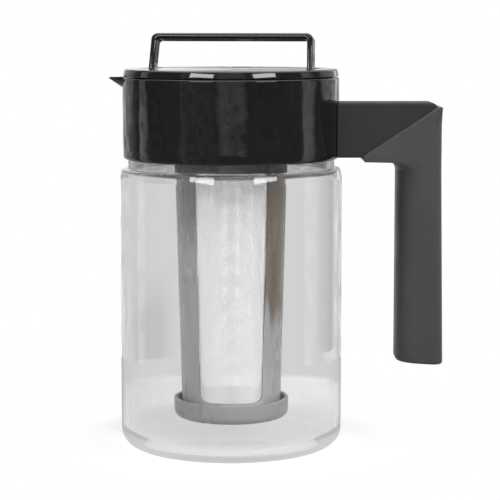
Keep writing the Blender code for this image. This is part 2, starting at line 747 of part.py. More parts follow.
def add_grip_sleeve():
    """The silicone sleeve over the leg, ending at the arm in a slanted mitre."""
    skin = GAP + SLEEVE_THICKNESS
    inner_face = leg_inner - skin
    outer_face = handle_end + skin
    foot_face = outer_face + SLEEVE_FLARE
    under_arm = arm_bottom - skin
    mitre_low = collar_radius + MITRE_LOW_REACH
    mitre_high = arm_top - MITRE_TOP_DROP
    foot = LEG_FOOT_HEIGHT - SLEEVE_FOOT_THICKNESS

    rings = []
    for step in range(EDGE_STEPS + 1):
        angle = math.pi / 2 * step / EDGE_STEPS
        inset = SLEEVE_FOOT_ROUND * (1 - math.sin(angle))
        low = foot + SLEEVE_FOOT_ROUND * (1 - math.cos(angle))
        section = grip_section(
            inner_face + inset, foot_face - inset, SLEEVE_GRIP_ROUND - inset, SLEEVE_EDGE_ROUND - inset
        )
        across = foot_face - inner_face
        narrowed = 1 - inset / sleeve_half_width
        rings.append([
            (x, y * narrowed, low + SLEEVE_FOOT_SLOPE * (foot_face - x) / across) for x, y in section
        ])
    levels = []
    for step in range(ARC_STEPS + 1):
        angle = math.pi / 2 * step / ARC_STEPS
        share = step / ARC_STEPS
        left_round = SLEEVE_GRIP_ROUND + (SLEEVE_SOFT_EDGE - SLEEVE_GRIP_ROUND) * share
        left = inner_face - SLEEVE_FILLET * (1 - math.cos(angle))
        levels.append((left, left_round, under_arm - SLEEVE_FILLET * (1 - math.sin(angle))))
    levels.append((mitre_low + skin / 4, SLEEVE_SOFT_EDGE, under_arm + skin / 8))
    levels.append((mitre_low - skin / 3, SLEEVE_SOFT_EDGE, arm_bottom))
    levels.append((mitre_low, SLEEVE_SOFT_EDGE, arm_bottom + skin / 2))
    climb = mitre_high - arm_bottom - skin / 2
    for step in range(1, ARC_STEPS + 1):
        share = step / ARC_STEPS
        left = mitre_low + (handle_end - mitre_low) * share
        levels.append((left, SLEEVE_SOFT_EDGE, arm_bottom + skin / 2 + climb * share))
    for left, left_round, height in levels:
        section = grip_section(left, outer_face, left_round, SLEEVE_EDGE_ROUND)
        rings.append([(x, y, height) for x, y in section])

    sleeve = add_part("grip_sleeve", loft_mesh("grip_sleeve", rings), GREY_SILICONE)
    hollow = add_cutter(
        "sleeve_hollow", plate_mesh("sleeve_hollow", frame_corners(GAP), ARM_HALF_WIDTH + GAP, True)
    )
    round_edges(hollow, ARM_EDGE_ROUND, math.radians(60))
    round_leg(hollow, "hollow", GAP)
    combine(sleeve, "DIFFERENCE", hollow)


def well_corners(grown, outer_round, inner_round):
    """The U outline in XY that the folded bail lies in, grown by a wall where asked."""
    return [
        (-well_outer - grown, -well_front - grown, 0),
        (-well_inner + grown, -well_front - grown, 0),
        (-well_inner + grown, well_bar_front - grown, inner_round),
        (well_inner - grown, well_bar_front - grown, inner_round),
        (well_inner - grown, -well_front - grown, 0),
        (well_outer + grown, -well_front - grown, 0),
        (well_outer + grown, well_back + grown, outer_round),
        (-well_outer - grown, well_back + grown, outer_round),
    ]


def lying_plate(name, corners, low, high):
    mesh = plate_mesh(name, corners, (high - low) / 2, False)
    mesh.transform(Matrix.Translation((0, 0, (low + high) / 2)))
    return mesh


def add_lid_cover(lid_frame):
    """The lid's top plate and skirt, one moulding, with a well for the folded bail."""
    gasket_outer = collar_radius - COLLAR_WALL
    gasket_inner = gasket_outer - RIM_GASKET_WIDTH - 2 * GAP
    corners = [
        (0, lid_top, 0),
        (lid_radius, lid_top, LID_TOP_ROUND),
        (lid_radius, lid_bottom, LID_FOOT_ROUND),
        (gasket_outer, lid_bottom, 0),
        (gasket_outer, lid_bottom + RIM_GASKET_RECESS, 0),
        (gasket_inner, lid_bottom + RIM_GASKET_RECESS, 0),
        (gasket_inner, lid_bottom, 0),
        (skirt_radius, lid_bottom, 0),
        (skirt_radius, seal_high + GAP, 0),
        (seal_groove_radius, seal_high + GAP, 0),
        (seal_groove_radius, seal_low - GAP, 0),
        (skirt_radius, seal_low - GAP, 0),
        (skirt_radius, skirt_bottom, 0),
        (skirt_bore, skirt_bottom, 0),
        (skirt_bore, bead_low - GAP, 0),
        (skirt_bore + INSERT_BEAD, bead_low - GAP, 0),
        (skirt_bore + INSERT_BEAD, bead_high + GAP, 0),
        (skirt_bore, bead_high + GAP, 0),
        (skirt_bore, plate_underside, 0),
        (0, plate_underside, 0),
    ]
    cover = turned_part("lid_cover", corners, False, GLOSS_BLACK, lid_frame)

    for index in range(LUG_COUNT):
        middle = math.tau * index / LUG_COUNT
        lug = sector_mesh(
            f"lug_{index + 1}", skirt_radius - SKIRT_WALL / 2, lug_radius,
            lug_low, lug_high, middle - LUG_HALF_ANGLE, middle + LUG_HALF_ANGLE,
        )
        combine(cover, "UNION", add_cutter(f"lug_{index + 1}", lug, lid_frame))

    block_low = well_floor - BAIL_WELL_WALL
    block_high = (plate_underside + lid_top) / 2
    block_outline = well_corners(BAIL_WELL_WALL, BAIL_WELL_OUTER_CORNER, 0)
    block = lying_plate("well_block", block_outline, block_low, block_high)
    combine(cover, "UNION", add_cutter("well_block", block, lid_frame))
    well_outline = well_corners(0.0, BAIL_WELL_CORNER, 0)
    well = lying_plate("bail_well", well_outline, well_floor, lid_top + OVERRUN)
    combine(cover, "DIFFERENCE", add_cutter("bail_well", well, lid_frame))

    port_middle = math.pi + PORT_TURN - LID_REST_TURN
    port = sector_mesh(
        "pouring_port", skirt_bore - OVERRUN, skirt_radius + OVERRUN / 3,
        spout_sill + PORT_SILL, collar_top - PORT_TOP_DROP,
        port_middle - PORT_HALF_ANGLE, port_middle + PORT_HALF_ANGLE,
    )
    combine(cover, "DIFFERENCE", add_cutter("pouring_port", port, lid_frame))

    scoop = bmesh.new()
    bmesh.ops.create_uvsphere(
        scoop, u_segments=SMALL_SEGMENTS, v_segments=SMALL_SEGMENTS, radius=SCOOP_RADIUS
    )
    scoop_mesh = bpy.data.meshes.new("finger_scoop")
    scoop.to_mesh(scoop_mesh)
    scoop.free()
    scoop_cutter = add_cutter("finger_scoop", scoop_mesh, lid_frame)
    scoop_cutter.location = (0, well_back + SCOOP_OFFSET, lid_top + SCOOP_RADIUS - SCOOP_DEPTH)
    combine(cover, "DIFFERENCE", scoop_cutter)

    pin_end = well_outer + PIN_BITE
    pin_start = well_inner - PIN_BITE
    for side, name in ((-1, "left"), (1, "right")):
        drilled = rod_mesh(
            f"pin_hole_{name}", PIN_RADIUS + GAP / 2,
            (side * (pin_start - OVERRUN), 0, pivot_height), (side * (pin_end + GAP), 0, pivot_height),
        )
        combine(cover, "DIFFERENCE", add_cutter(f"pin_hole_{name}", drilled, lid_frame))
        pin = rod_mesh(
            f"bail_pin_{name}", PIN_RADIUS,
            (side * pin_start, 0, pivot_height), (side * pin_end, 0, pivot_height),
        )
        add_part(f"bail_pin_{name}", pin, PIN_STEEL, lid_frame)

        washer_middle = leg_face - GAP - WASHER_THICKNESS / 2
        ends = [
            (side * (washer_middle + shift), 0, pivot_height)
            for shift in (-WASHER_THICKNESS / 2, WASHER_THICKNESS / 2)
        ]
        disc = rod_mesh(f"bail_washer_{name}", WASHER_RADIUS, *ends)
        washer = add_part(f"bail_washer_{name}", disc, CLEAR_SILICONE, lid_frame)
        bore = rod_mesh(
            f"washer_bore_{name}", PIN_RADIUS + GAP / 2,
            (side * (pin_start - OVERRUN), 0, pivot_height), (side * (pin_end + OVERRUN), 0, pivot_height),
        )
        combine(washer, "DIFFERENCE", add_cutter(f"washer_bore_{name}", bore, lid_frame))

    gasket = ring_corners(
        gasket_inner + GAP, gasket_outer - GAP,
        lid_bottom + RIM_GASKET_RECESS - GAP - RIM_GASKET_HEIGHT, lid_bottom + RIM_GASKET_RECESS - GAP,
    )
    turned_part("rim_gasket", gasket, True, CLEAR_SILICONE, lid_frame)


def add_lid_seal():
    """The silicone ring in the skirt's groove, which presses on the mouth's wall."""
    corners = ring_corners(seal_groove_radius + GAP, mouth_radius - GAP, seal_low, seal_high)
    turned_part("lid_seal", corners, True, CLEAR_SILICONE)


def thread_base(is_infuser):
    """Height where the ridges start. The infuser's ridges ride on top of the socket's."""
    lowest = socket_bottom + THREAD_RISE
    return lowest + THREAD_RIDGE_HEIGHT + GAP if is_infuser else lowest


def add_thread_ridges(obj, label, inner, outer, is_infuser, parent):
    """Joins the ridges to a piece. Both sets start at the same angles, which follow the lid's turn."""
    rise = THREAD_LEAD * THREAD_RIDGE_ANGLE / math.tau
    low = thread_base(is_infuser)
    first = THREAD_START_TURN if parent else LID_REST_TURN + THREAD_START_TURN
    for index in range(THREAD_STARTS):
        start = first + math.tau * index / THREAD_STARTS
        ridge = sector_mesh(
            f"{label}_ridge_{index + 1}", inner, outer, low, low + THREAD_RIDGE_HEIGHT,
            start, start + THREAD_RIDGE_ANGLE, rise,
        )
        combine(obj, "UNION", add_cutter(f"{label}_ridge_{index + 1}", ridge, parent))


def add_lid_insert(lid_frame):
    """The inner disc of the lid, with pouring holes and the threaded socket for the infuser."""
    rim_bore = insert_radius - INSERT_RIM_WALL
    corners = [
        (0, insert_floor_top, 0),
        (rim_bore, insert_floor_top, 0),
        (rim_bore, insert_rim_top, 0),
        (insert_radius, insert_rim_top, 0),
        (insert_radius, bead_high, 0),
        (insert_radius + INSERT_BEAD, (bead_low + bead_high) / 2, 0),
        (insert_radius, bead_low, 0),
        (insert_radius, skirt_bottom, 0),
        (socket_radius, skirt_bottom, 0),
        (socket_radius, socket_bottom, 0),
        (socket_bore, socket_bottom, 0),
        (socket_bore, skirt_bottom, 0),
        (0, skirt_bottom, 0),
    ]
    insert = turned_part("lid_insert", corners, False, GLOSS_BLACK, lid_frame)
    add_thread_ridges(
        insert, "socket", INFUSER_NECK_RADIUS + RUNNING_GAP, socket_bore + SOCKET_WALL / 2, False, lid_frame
    )
    hole_circle = (socket_radius + rim_bore) / 2
    port_middle = math.pi + PORT_TURN - LID_REST_TURN
    for index in range(POUR_HOLE_COUNT):
        angle = port_middle + POUR_HOLE_STEP * (index - (POUR_HOLE_COUNT - 1) / 2)
        place = (hole_circle * math.cos(angle), hole_circle * math.sin(angle))
        hole = rod_mesh(
            f"pour_hole_{index + 1}", POUR_HOLE_RADIUS,
            (*place, skirt_bottom - OVERRUN), (*place, insert_floor_top + OVERRUN),
        )
        combine(insert, "DIFFERENCE", add_cutter(f"pour_hole_{index + 1}", hole, lid_frame))


def add_bail(lid_frame):
    """The folding carry handle: a bent flat band with round feet that turn on the pins."""
    pivot = add_empty("bail_pivot", (0, 0, pivot_height), (-BAIL_LEAN, 0, 0), lid_frame)
    top_span = bail_half_span - BAIL_SPLAY
    bar_underside = BAIL_HEIGHT - BAIL_THICKNESS
    corners = [
        (-bail_half_span, 0, 0),
        (-top_span, BAIL_HEIGHT, BAIL_CORNER),
        (top_span, BAIL_HEIGHT, BAIL_CORNER),
        (bail_half_span, 0, 0),
        (leg_face, 0, 0),
        (top_span - BAIL_THICKNESS, bar_underside, BAIL_INNER_CORNER),
        (-top_span + BAIL_THICKNESS, bar_underside, BAIL_INNER_CORNER),
        (-leg_face, 0, 0),
    ]
    bail = add_part("bail", plate_mesh("bail", corners, BAIL_DEPTH / 2, True), GLOSS_BLACK, pivot)
    round_edges(bail, BAIL_EDGE_ROUND, math.radians(60))
    for side, name in ((-1, "left"), (1, "right")):
        foot = rod_mesh(
            f"bail_foot_{name}", BAIL_DEPTH / 2, (side * leg_face, 0, 0), (side * bail_half_span, 0, 0),
            SMALL_SEGMENTS + 4,
        )
        combine(bail, "UNION", add_cutter(f"bail_foot_{name}", foot, pivot))
        eye = rod_mesh(
            f"bail_eye_{name}", PIN_RADIUS + GAP,
            (side * (leg_face - OVERRUN), 0, 0), (side * (bail_half_span + OVERRUN), 0, 0),
        )
        combine(bail, "DIFFERENCE", add_cutter(f"bail_eye_{name}", eye, pivot))


def cone_radius(height):
    """Outer radius of the infuser's tapered body at a height."""
    share = (infuser_shoulder_low - height) / (infuser_shoulder_low - BASE_RING_BOTTOM)
    return infuser_top_radius - INFUSER_TAPER * share


def window_corners(inset):
    """The outline in XZ of the two facing windows, drawn in by the gap that the mesh keeps."""
    low = base_ring_top + inset
    high = infuser_shoulder_low - WINDOW_TOP_MARGIN - inset
    foot = cone_radius(base_ring_top) - RIB_FOOT_WIDTH - inset
    top = infuser_top_radius - RIB_TOP_WIDTH - inset
    return [
        (-foot, low, WINDOW_FOOT_ROUND - inset),
        (foot, low, WINDOW_FOOT_ROUND - inset),
        (top, high, WINDOW_TOP_ROUND - inset),
        (-top, high, WINDOW_TOP_ROUND - inset),
    ]


def add_infuser():
    """The infuser's frame, its mesh panels, its mesh floor, its foot ring and its gasket."""
    neck_inner = INFUSER_NECK_RADIUS - INFUSER_NECK_WALL
    floor_low = infuser_foot + MESH_FLOOR_RISE
    foot_radius = cone_radius(infuser_foot)
    foot_bore = foot_radius - INFUSER_WALL
    base_ring_radius = foot_radius + BASE_RING_REACH
    corners = [
        (INFUSER_NECK_RADIUS, infuser_neck_top, 0),
        (INFUSER_NECK_RADIUS, infuser_shoulder_high, 0),
        (infuser_shoulder_radius, infuser_shoulder_high, NECK_RIM_ROUND),
        (infuser_shoulder_radius, infuser_shoulder_low, 0),
        (infuser_top_radius, infuser_shoulder_low, 0),
        (foot_radius, infuser_foot, 0),
        (foot_bore, infuser_foot, 0),
        (foot_bore, floor_low, 0),
        (foot_bore - MESH_FLOOR_LIP, floor_low, 0),
        (foot_bore - MESH_FLOOR_LIP, floor_low + MESH_FLOOR_LIP_HEIGHT, 0),
        (foot_bore, floor_low + MESH_FLOOR_LIP_HEIGHT, 0),
        (infuser_top_radius - INFUSER_WALL, infuser_shoulder_low, 0),
        (neck_inner, infuser_shoulder_high, 0),
        (neck_inner, infuser_neck_top, 0),
    ]
    frame = turned_part("infuser_frame", corners, True, INFUSER_PLASTIC)
    window = add_cutter(
        "windows", plate_mesh("windows", window_corners(0.0), base_ring_radius + OVERRUN, True)
    )
    combine(frame, "DIFFERENCE", window)
    add_thread_ridges(
        frame, "infuser", INFUSER_NECK_RADIUS - INFUSER_NECK_WALL / 2, thread_outer_radius, True, None
    )

    low, high = BASE_RING_BOTTOM, infuser_shoulder_low
    outset = (INFUSER_WALL - MESH_THICKNESS) / 2
    sheet = [
        (cone_radius(high) - outset, high, 0),
        (cone_radius(low) - outset, low, 0),
        (cone_radius(low) - outset - MESH_THICKNESS, low, 0),
        (cone_radius(high) - outset - MESH_THICKNESS, high, 0),
    ]
    for side, name in ((-1, "front"), (1, "back")):
        panel = turned_part(f"mesh_{name}", sheet, True, FILTER_MESH)
        half_depth = base_ring_radius / 2
        opening = plate_mesh(f"mesh_outline_{name}", window_corners(GAP), half_depth, True)
        opening.transform(Matrix.Translation((0, side * half_depth, 0)))
        combine(panel, "INTERSECT", add_cutter(f"mesh_outline_{name}", opening))

    mesh_low = floor_low + MESH_FLOOR_LIP_HEIGHT + GAP
    mesh_radius = foot_bore - GAP
    disc = [
        (0, mesh_low + MESH_THICKNESS, 0), (mesh_radius, mesh_low + MESH_THICKNESS, 0),
        (mesh_radius, mesh_low, 0), (0, mesh_low, 0),
    ]
    turned_part("mesh_floor", disc, False, FILTER_MESH)

    ring_bore = base_ring_radius - BASE_RING_WALL
    seat = infuser_foot - GAP
    base = [
        (base_ring_radius, base_ring_top, 0),
        (base_ring_radius, BASE_RING_BOTTOM, BASE_RING_ROUND),
        (foot_bore - BASE_RING_LIP, BASE_RING_BOTTOM, 0),
        (foot_bore - BASE_RING_LIP, seat, 0),
        (foot_radius + GAP, seat, 0),
        (ring_bore, seat + BASE_RING_WALL, 0),
        (ring_bore, base_ring_top, 0),
    ]
    turned_part("infuser_base_ring", base, True, INFUSER_PLASTIC)

    gasket = ring_corners(
        neck_inner, neck_inner + INFUSER_GASKET_WIDTH, infuser_gasket_low, infuser_gasket_high
    )
    turned_part("infuser_gasket", gasket, True, CLEAR_SILICONE)


def main():
    lid_frame = add_empty("lid_axis", (0, 0, 0), (0, 0, LID_REST_TURN))
    add_jar()
    add_neck_seal()
    add_collar()
    add_handle_frame()
    add_grip_sleeve()
    add_lid_cover(lid_frame)
    add_lid_seal()
    add_lid_insert(lid_frame)
    add_bail(lid_frame)
    add_infuser()


main()
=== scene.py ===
"""Cold brew pitcher: fine surfaces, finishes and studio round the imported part. Metres, +Z up."""

from __future__ import annotations

import json
import logging
import math
from dataclasses import dataclass
from enum import Enum

import bmesh
import bpy
import numpy as np
from mathutils import Matrix, Vector

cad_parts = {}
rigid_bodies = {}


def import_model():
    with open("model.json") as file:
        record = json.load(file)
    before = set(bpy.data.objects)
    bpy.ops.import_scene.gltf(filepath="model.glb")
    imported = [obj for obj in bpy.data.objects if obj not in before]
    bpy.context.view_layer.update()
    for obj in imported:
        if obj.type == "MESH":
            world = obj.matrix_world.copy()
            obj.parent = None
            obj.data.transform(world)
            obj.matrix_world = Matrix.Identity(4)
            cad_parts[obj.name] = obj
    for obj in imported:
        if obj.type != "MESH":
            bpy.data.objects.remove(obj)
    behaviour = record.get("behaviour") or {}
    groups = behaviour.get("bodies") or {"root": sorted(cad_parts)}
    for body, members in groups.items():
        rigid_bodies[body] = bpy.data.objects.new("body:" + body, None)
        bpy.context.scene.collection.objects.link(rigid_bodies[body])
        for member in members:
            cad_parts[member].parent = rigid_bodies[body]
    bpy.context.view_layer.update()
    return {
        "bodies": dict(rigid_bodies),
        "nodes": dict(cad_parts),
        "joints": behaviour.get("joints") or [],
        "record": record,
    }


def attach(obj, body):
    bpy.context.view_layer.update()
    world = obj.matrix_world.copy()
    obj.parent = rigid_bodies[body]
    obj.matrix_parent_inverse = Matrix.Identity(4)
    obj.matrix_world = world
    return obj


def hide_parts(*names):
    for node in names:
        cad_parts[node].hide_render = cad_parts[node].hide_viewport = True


Corner = tuple[float, float, float]
Pair = tuple[float, float]
Socket = bpy.types.NodeSocket
LOG = logging.getLogger("pitcher")
# How far a cutter reaches past what it cuts.
OVERRUN = 0.003


class Body(Enum):
    """The bodies that pieces ride on."""

    PITCHER = "pitcher"
    LID = "lid"
    BAIL = "bail"
    INFUSER = "infuser"


class Slot(Enum):
    """The record's material slots."""

    CLEAR = "clear_jar_plastic"
    GLOSS = "gloss_black_plastic"
    MATTE = "matte_black_plastic"
    GRIP = "grey_silicone"
    SEAL = "pale_silicone"
    SMOKE = "infuser_plastic"
    MESH = "filter_mesh"
    STEEL = "pin_steel"


class Plane(Enum):
    """Where an outline lies before it gets its depth: standing in XZ or lying in XY."""

    STANDING = "xz"
    LYING = "xy"


class Join(Enum):
    """How a mesh changes a piece."""

    CUT = "DIFFERENCE"
    ADD = "UNION"


# Surfaces


def rounded_outline(corners: list[Corner], closed: bool = True, steps: int = 9) -> np.ndarray:
    """Draws an outline with rounded corners.

    The arc at a corner touches both sides at a reach of radius / tan(half the corner's angle), and its
    centre lies on the bisector at reach / cos(half the angle).

    Args:
        corners: Points (x, y, radius); a radius of 0 keeps the corner sharp.
        closed: Whether the last corner joins the first.
        steps: Steps in each arc.

    Returns:
        Points of the outline, one row each.
    """
    spots = np.array([corner[:2] for corner in corners], float)
    parts = []
    for index, (x, y, radius) in enumerate(corners):
        here = np.array([x, y])
        if radius == 0 or (not closed and index in (0, len(corners) - 1)):
            parts.append(here[None])
            continue
        before = spots[index - 1] - here
        after = spots[(index + 1) % len(corners)] - here
        lengths = np.linalg.norm(before), np.linalg.norm(after)
        before, after = before / lengths[0], after / lengths[1]
        half = math.acos(np.clip(before @ after, -1, 1)) / 2
        reach = min(radius / math.tan(half), lengths[0] / 2, lengths[1] / 2)
        bisector = (before + after) / np.linalg.norm(before + after)
        centre = here + bisector * reach / math.cos(half)
        first, last = here + before * reach - centre, here + after * reach - centre
        sweep = math.atan2(first[0] * last[1] - first[1] * last[0], first @ last)
        angles = sweep * np.linspace(0, 1, steps + 1)[:, None]
        turned = np.array([-first[1], first[0]])
        parts.append(centre + first * np.cos(angles) + turned * np.sin(angles))
    return np.concatenate(parts)


def grid_mesh(name: str, points: np.ndarray, wrap_rows: bool = False, caps: bool = True) -> bpy.types.Mesh:
    """Skins a grid of points with four-sided faces.

    Point (i, j) joins (i + 1, j), (i + 1, j + 1) and (i, j + 1); the columns always close on
    themselves, and the rows do where asked. Doubles are merged, so poles and seams close, and faces
    are turned outwards.

    Args:
        name: Name of the mesh.
        points: Array of rows x columns x 3.
        wrap_rows: Whether the last row joins the first.
        caps: Whether the first and last rows are filled.

    Returns:
        The new mesh.
    """
    rows, columns = points.shape[:2]
    lower = np.arange(rows if wrap_rows else rows - 1)[:, None] * columns
    upper = (lower + columns) % (rows * columns)
    here = np.arange(columns)[None]
    beside = (here + 1) % columns
    faces = np.stack([lower + here, lower + beside, upper + beside, upper + here], -1).reshape(-1, 4).tolist()
    if caps:
        faces.append(list(range(columns))[::-1])
        faces.append(list(range((rows - 1) * columns, rows * columns)))
    mesh = bpy.data.meshes.new(name)
    mesh.from_pydata(points.reshape(-1, 3).tolist(), [], faces)
    shape = bmesh.new()
    shape.from_mesh(mesh)
    bmesh.ops.remove_doubles(shape, verts=shape.verts, dist=1e-6)
    bmesh.ops.dissolve_degenerate(shape, edges=shape.edges, dist=1e-7)
    bmesh.ops.recalc_face_normals(shape, faces=shape.faces)
    shape.to_mesh(mesh)
    shape.free()
    return mesh


def turned_mesh(name: str, profile: np.ndarray, closed: bool, segments: int = 192) -> bpy.types.Mesh:
    """Turns a profile about Z: the point (r, z) goes to (r cos a, r sin a, z) for each angle a.

    Args:
        name: Name of the mesh.
        profile: Points (r, z).
        closed: Whether the profile closes on itself, as a ring's does.
        segments: Columns round the axis.

    Returns:
        The new mesh.
    """
    angles = np.arange(segments) * math.tau / segments
    radii, heights = profile[:, :1], profile[:, 1:]
    points = np.stack([radii * np.cos(angles), radii * np.sin(angles), heights + 0 * angles], -1)
    return grid_mesh(name, points, closed, False)


def drawn_in(outline: np.ndarray, amount: float) -> np.ndarray:
    """Moves each point of a closed outline inwards along the mean normal of its two sides.

    Args:
        outline: Closed outline.
        amount: How far its sides move in.

    Returns:
        The new outline.
    """
    ahead = np.roll(outline, -1, 0) - outline
    ahead /= np.linalg.norm(ahead, axis=1, keepdims=True) + 1e-12
    behind = np.roll(ahead, 1, 0)
    normal = np.stack([-(ahead + behind)[:, 1], (ahead + behind)[:, 0]], -1)
    normal /= np.linalg.norm(normal, axis=1, keepdims=True) + 1e-12
    across = np.stack([-ahead[:, 1], ahead[:, 0]], -1)
    mitre = np.clip((normal * across).sum(1, keepdims=True), 0.3, 1)
    area = np.sum(outline[:, 0] * np.roll(outline[:, 1], -1) - outline[:, 1] * np.roll(outline[:, 0], -1))
    return outline + normal * amount / mitre * (1 if area > 0 else -1)


def slab_points(
    outline: np.ndarray, half: float, edge: float = 0.0, steps: int = 5, plane: Plane = Plane.STANDING
) -> np.ndarray:
    """Gives an outline a depth with rounded edges.

    Towards each side the outline is drawn in by edge (1 - cos a) while its depth reaches
    half - edge + edge sin a, for a from 0 to a right angle.

    Args:
        outline: Closed outline.
        half: Half of the depth.
        edge: Radius of the rounded edges, or 0.
        steps: Steps in each rounded edge, and between them.
        plane: Where the outline lies.

    Returns:
        Array of rows x columns x 3, from one side to the other.
    """
    angles = np.linspace(math.pi / 2, 0, steps + 1) if edge else np.zeros(1)
    depths = half - edge + edge * np.sin(angles)
    insets = edge * (1 - np.cos(angles))
    middle = np.linspace(-depths[-1], depths[-1], 2 * steps + 1)[1:-1]
    depths = np.concatenate([-depths, middle, depths[::-1]])
    insets = np.concatenate([insets, 0 * middle, insets[::-1]])
    rings = np.stack([drawn_in(outline, inset) for inset in insets])
    level = np.broadcast_to(depths[:, None], rings.shape[:2])
    if plane is Plane.STANDING:
        return np.stack([rings[..., 0], level, rings[..., 1]], -1)
    return np.stack([rings[..., 0], rings[..., 1], level], -1)


def lying_slab(name: str, outline: np.ndarray, low: float, high: float) -> bpy.types.Mesh:
    """Makes a sharp slab of an outline that lies in XY.

    Args:
        name: Name of the mesh.
        outline: Closed outline.
        low: Height of the slab's underside.
        high: Height of its top.

    Returns:
        The new mesh.
    """
    points = slab_points(outline, (high - low) / 2, 0.0, 1, Plane.LYING)
    points[..., 2] += (low + high) / 2
    return grid_mesh(name, points)


def rod_mesh(name: str, radius: float, start: Corner, end: Corner, segments: int = 40) -> bpy.types.Mesh:
    """Makes a round rod: a circle radius (u cos a + v sin a), with u and v across the rod, at both ends.

    Args:
        name: Name of the mesh.
        radius: Radius of the rod.
        start: Centre of its first end.
        end: Centre of its last end.
        segments: Columns round it.

    Returns:
        The new mesh.
    """
    first, last = np.array(start, float), np.array(end, float)
    along = (last - first) / np.linalg.norm(last - first)
    across = np.cross(along, (0, 1, 0) if abs(along[1]) < 0.5 else (0, 0, 1))
    across /= np.linalg.norm(across)
    angles = np.arange(segments)[:, None] * math.tau / segments
    circle = radius * (np.cos(angles) * across + np.sin(angles) * np.cross(along, across))
    return grid_mesh(name, np.stack([first + circle, last + circle]))


def sector_mesh(
    name: str, section: list[Pair], start: float, end: float, rise: float = 0.0
) -> bpy.types.Mesh:
    """Carries a closed section round Z: (r, z) goes to (r cos a, r sin a, z + rise share) at each angle a.

    Args:
        name: Name of the mesh.
        section: Points (r, z).
        start: First angle.
        end: Last angle.
        rise: How far the section climbs on the way.

    Returns:
        The new mesh.
    """
    share = np.linspace(0, 1, max(3, int(abs(end - start) / math.tau * 160)))[:, None]
    angles = start + (end - start) * share
    radii, heights = np.array(section).T
    points = np.stack([radii * np.cos(angles), radii * np.sin(angles), heights + rise * share], -1)
    return grid_mesh(name, points)


def new_object(mesh: bpy.types.Mesh) -> bpy.types.Object:
    """Puts a mesh into the scene at the origin, under the mesh's name.

    Args:
        mesh: The mesh.

    Returns:
        The object that holds it.
    """
    made = bpy.data.objects.new(mesh.name, mesh)
    bpy.context.scene.collection.objects.link(made)
    return made


def settle(piece: bpy.types.Object, sharp: float = 32.0) -> bpy.types.Object:
    """Applies a piece's modifiers to its mesh and shades it.

    Args:
        piece: The piece.
        sharp: Degrees between two faces past which their edge is sharp.

    Returns:
        The piece.
    """
    graph = bpy.context.evaluated_depsgraph_get()
    graph.update()
    mesh = bpy.data.meshes.new_from_object(piece.evaluated_get(graph))
    piece.modifiers.clear()
    piece.data = mesh
    mesh.name = piece.name
    mesh.shade_smooth()
    mesh.set_sharp_from_angle(angle=math.radians(sharp))
    return piece


def joined(piece: bpy.types.Object, how: Join, meshes: list[bpy.types.Mesh]) -> bpy.types.Object:
    """Cuts meshes out of a piece, or joins them to it.

    Args:
        piece: The piece that changes.
        how: Whether they are cut out or added.
        meshes: The meshes.

    Returns:
        The piece.
    """
    others = [new_object(mesh) for mesh in meshes]
    for other in others:
        step = piece.modifiers.new("joined", "BOOLEAN")
        step.operation, step.solver, step.object = how.value, "EXACT", other
    settle(piece)
    for other in others:
        bpy.data.objects.remove(other)
    return piece


def softened(piece: bpy.types.Object, width: float, limit: float = 50.0) -> bpy.types.Object:
    """Rounds a piece's sharp edges and leaves its flat faces flat.

    Args:
        piece: The piece.
        width: Width of the rounding.
        limit: Degrees past which an edge is rounded.

    Returns:
        The piece.
    """
    bevel = piece.modifiers.new("softened", "BEVEL")
    bevel.width, bevel.segments, bevel.limit_method = width, 2, "ANGLE"
    bevel.angle_limit = math.radians(limit)
    bevel.use_clamp_overlap = True
    return settle(piece)


def turned_by(mesh: bpy.types.Mesh, angle: float, first: int = 0, second: int = 1, lift: float = 0.0) -> None:
    """Turns a mesh's points in the plane of two axes, from the first towards the second, and lifts them.

    Args:
        mesh: The mesh.
        angle: The turn, in radians.
        first: Index of the axis that the turn starts from.
        second: Index of the axis that it goes to.
        lift: How far the points then move up.
    """
    points = np.zeros(len(mesh.vertices) * 3)
    mesh.vertices.foreach_get("co", points)
    points = points.reshape(-1, 3)
    one, other = points[:, first].copy(), points[:, second].copy()
    points[:, first] = one * math.cos(angle) - other * math.sin(angle)
    points[:, second] = one * math.sin(angle) + other * math.cos(angle)
    points[:, 2] += lift
    mesh.vertices.foreach_set("co", points.ravel())
    mesh.update()


# Finishes


class Tree:
    """A node tree while it is being made."""

    def __init__(self, tree: bpy.types.NodeTree) -> None:
        """Works on the given tree."""
        self.tree = tree

    def node(self, kind: str, **settings: object) -> bpy.types.Node:
        """Adds a node.

        Args:
            kind: Type of the node.
            **settings: Its properties by name.

        Returns:
            The node.
        """
        made = self.tree.nodes.new(kind)
        for name, value in settings.items():
            setattr(made, name, value)
        return made

    def feed(self, socket: Socket, value: object) -> None:
        """Gives a socket what it reads.

        Args:
            socket: The socket.
            value: Another socket to link it to, or a value to set.
        """
        if isinstance(value, bpy.types.NodeSocket):
            self.tree.links.new(value, socket)
        else:
            socket.default_value = value

    def math(self, operation: str, *values: object) -> Socket:
        """Adds a Math node.

        Args:
            operation: What it works out.
            *values: Its inputs, as sockets or numbers.

        Returns:
            Its output.
        """
        made = self.node("ShaderNodeMath", operation=operation)
        for socket, value in zip(made.inputs, values):
            self.feed(socket, value)
        return made.outputs[0]

    def between(self, value: Socket, low: float, high: float, start: float = 0.3, end: float = 0.7) -> Socket:
        """Maps a value from one range onto another, and stops at its ends.

        Args:
            value: The value.
            low: Result at start.
            high: Result at end.
            start: Where the range begins.
            end: Where it ends.

        Returns:
            The mapped value.
        """
        made = self.node("ShaderNodeMapRange")
        for socket, number in zip(made.inputs, (value, start, end, low, high)):
            self.feed(socket, number)
        return made.outputs[0]

    def rays(self) -> dict[str, Socket]:
        """The Light Path node's outputs by name."""
        return dict(self.node("ShaderNodeLightPath").outputs.items())


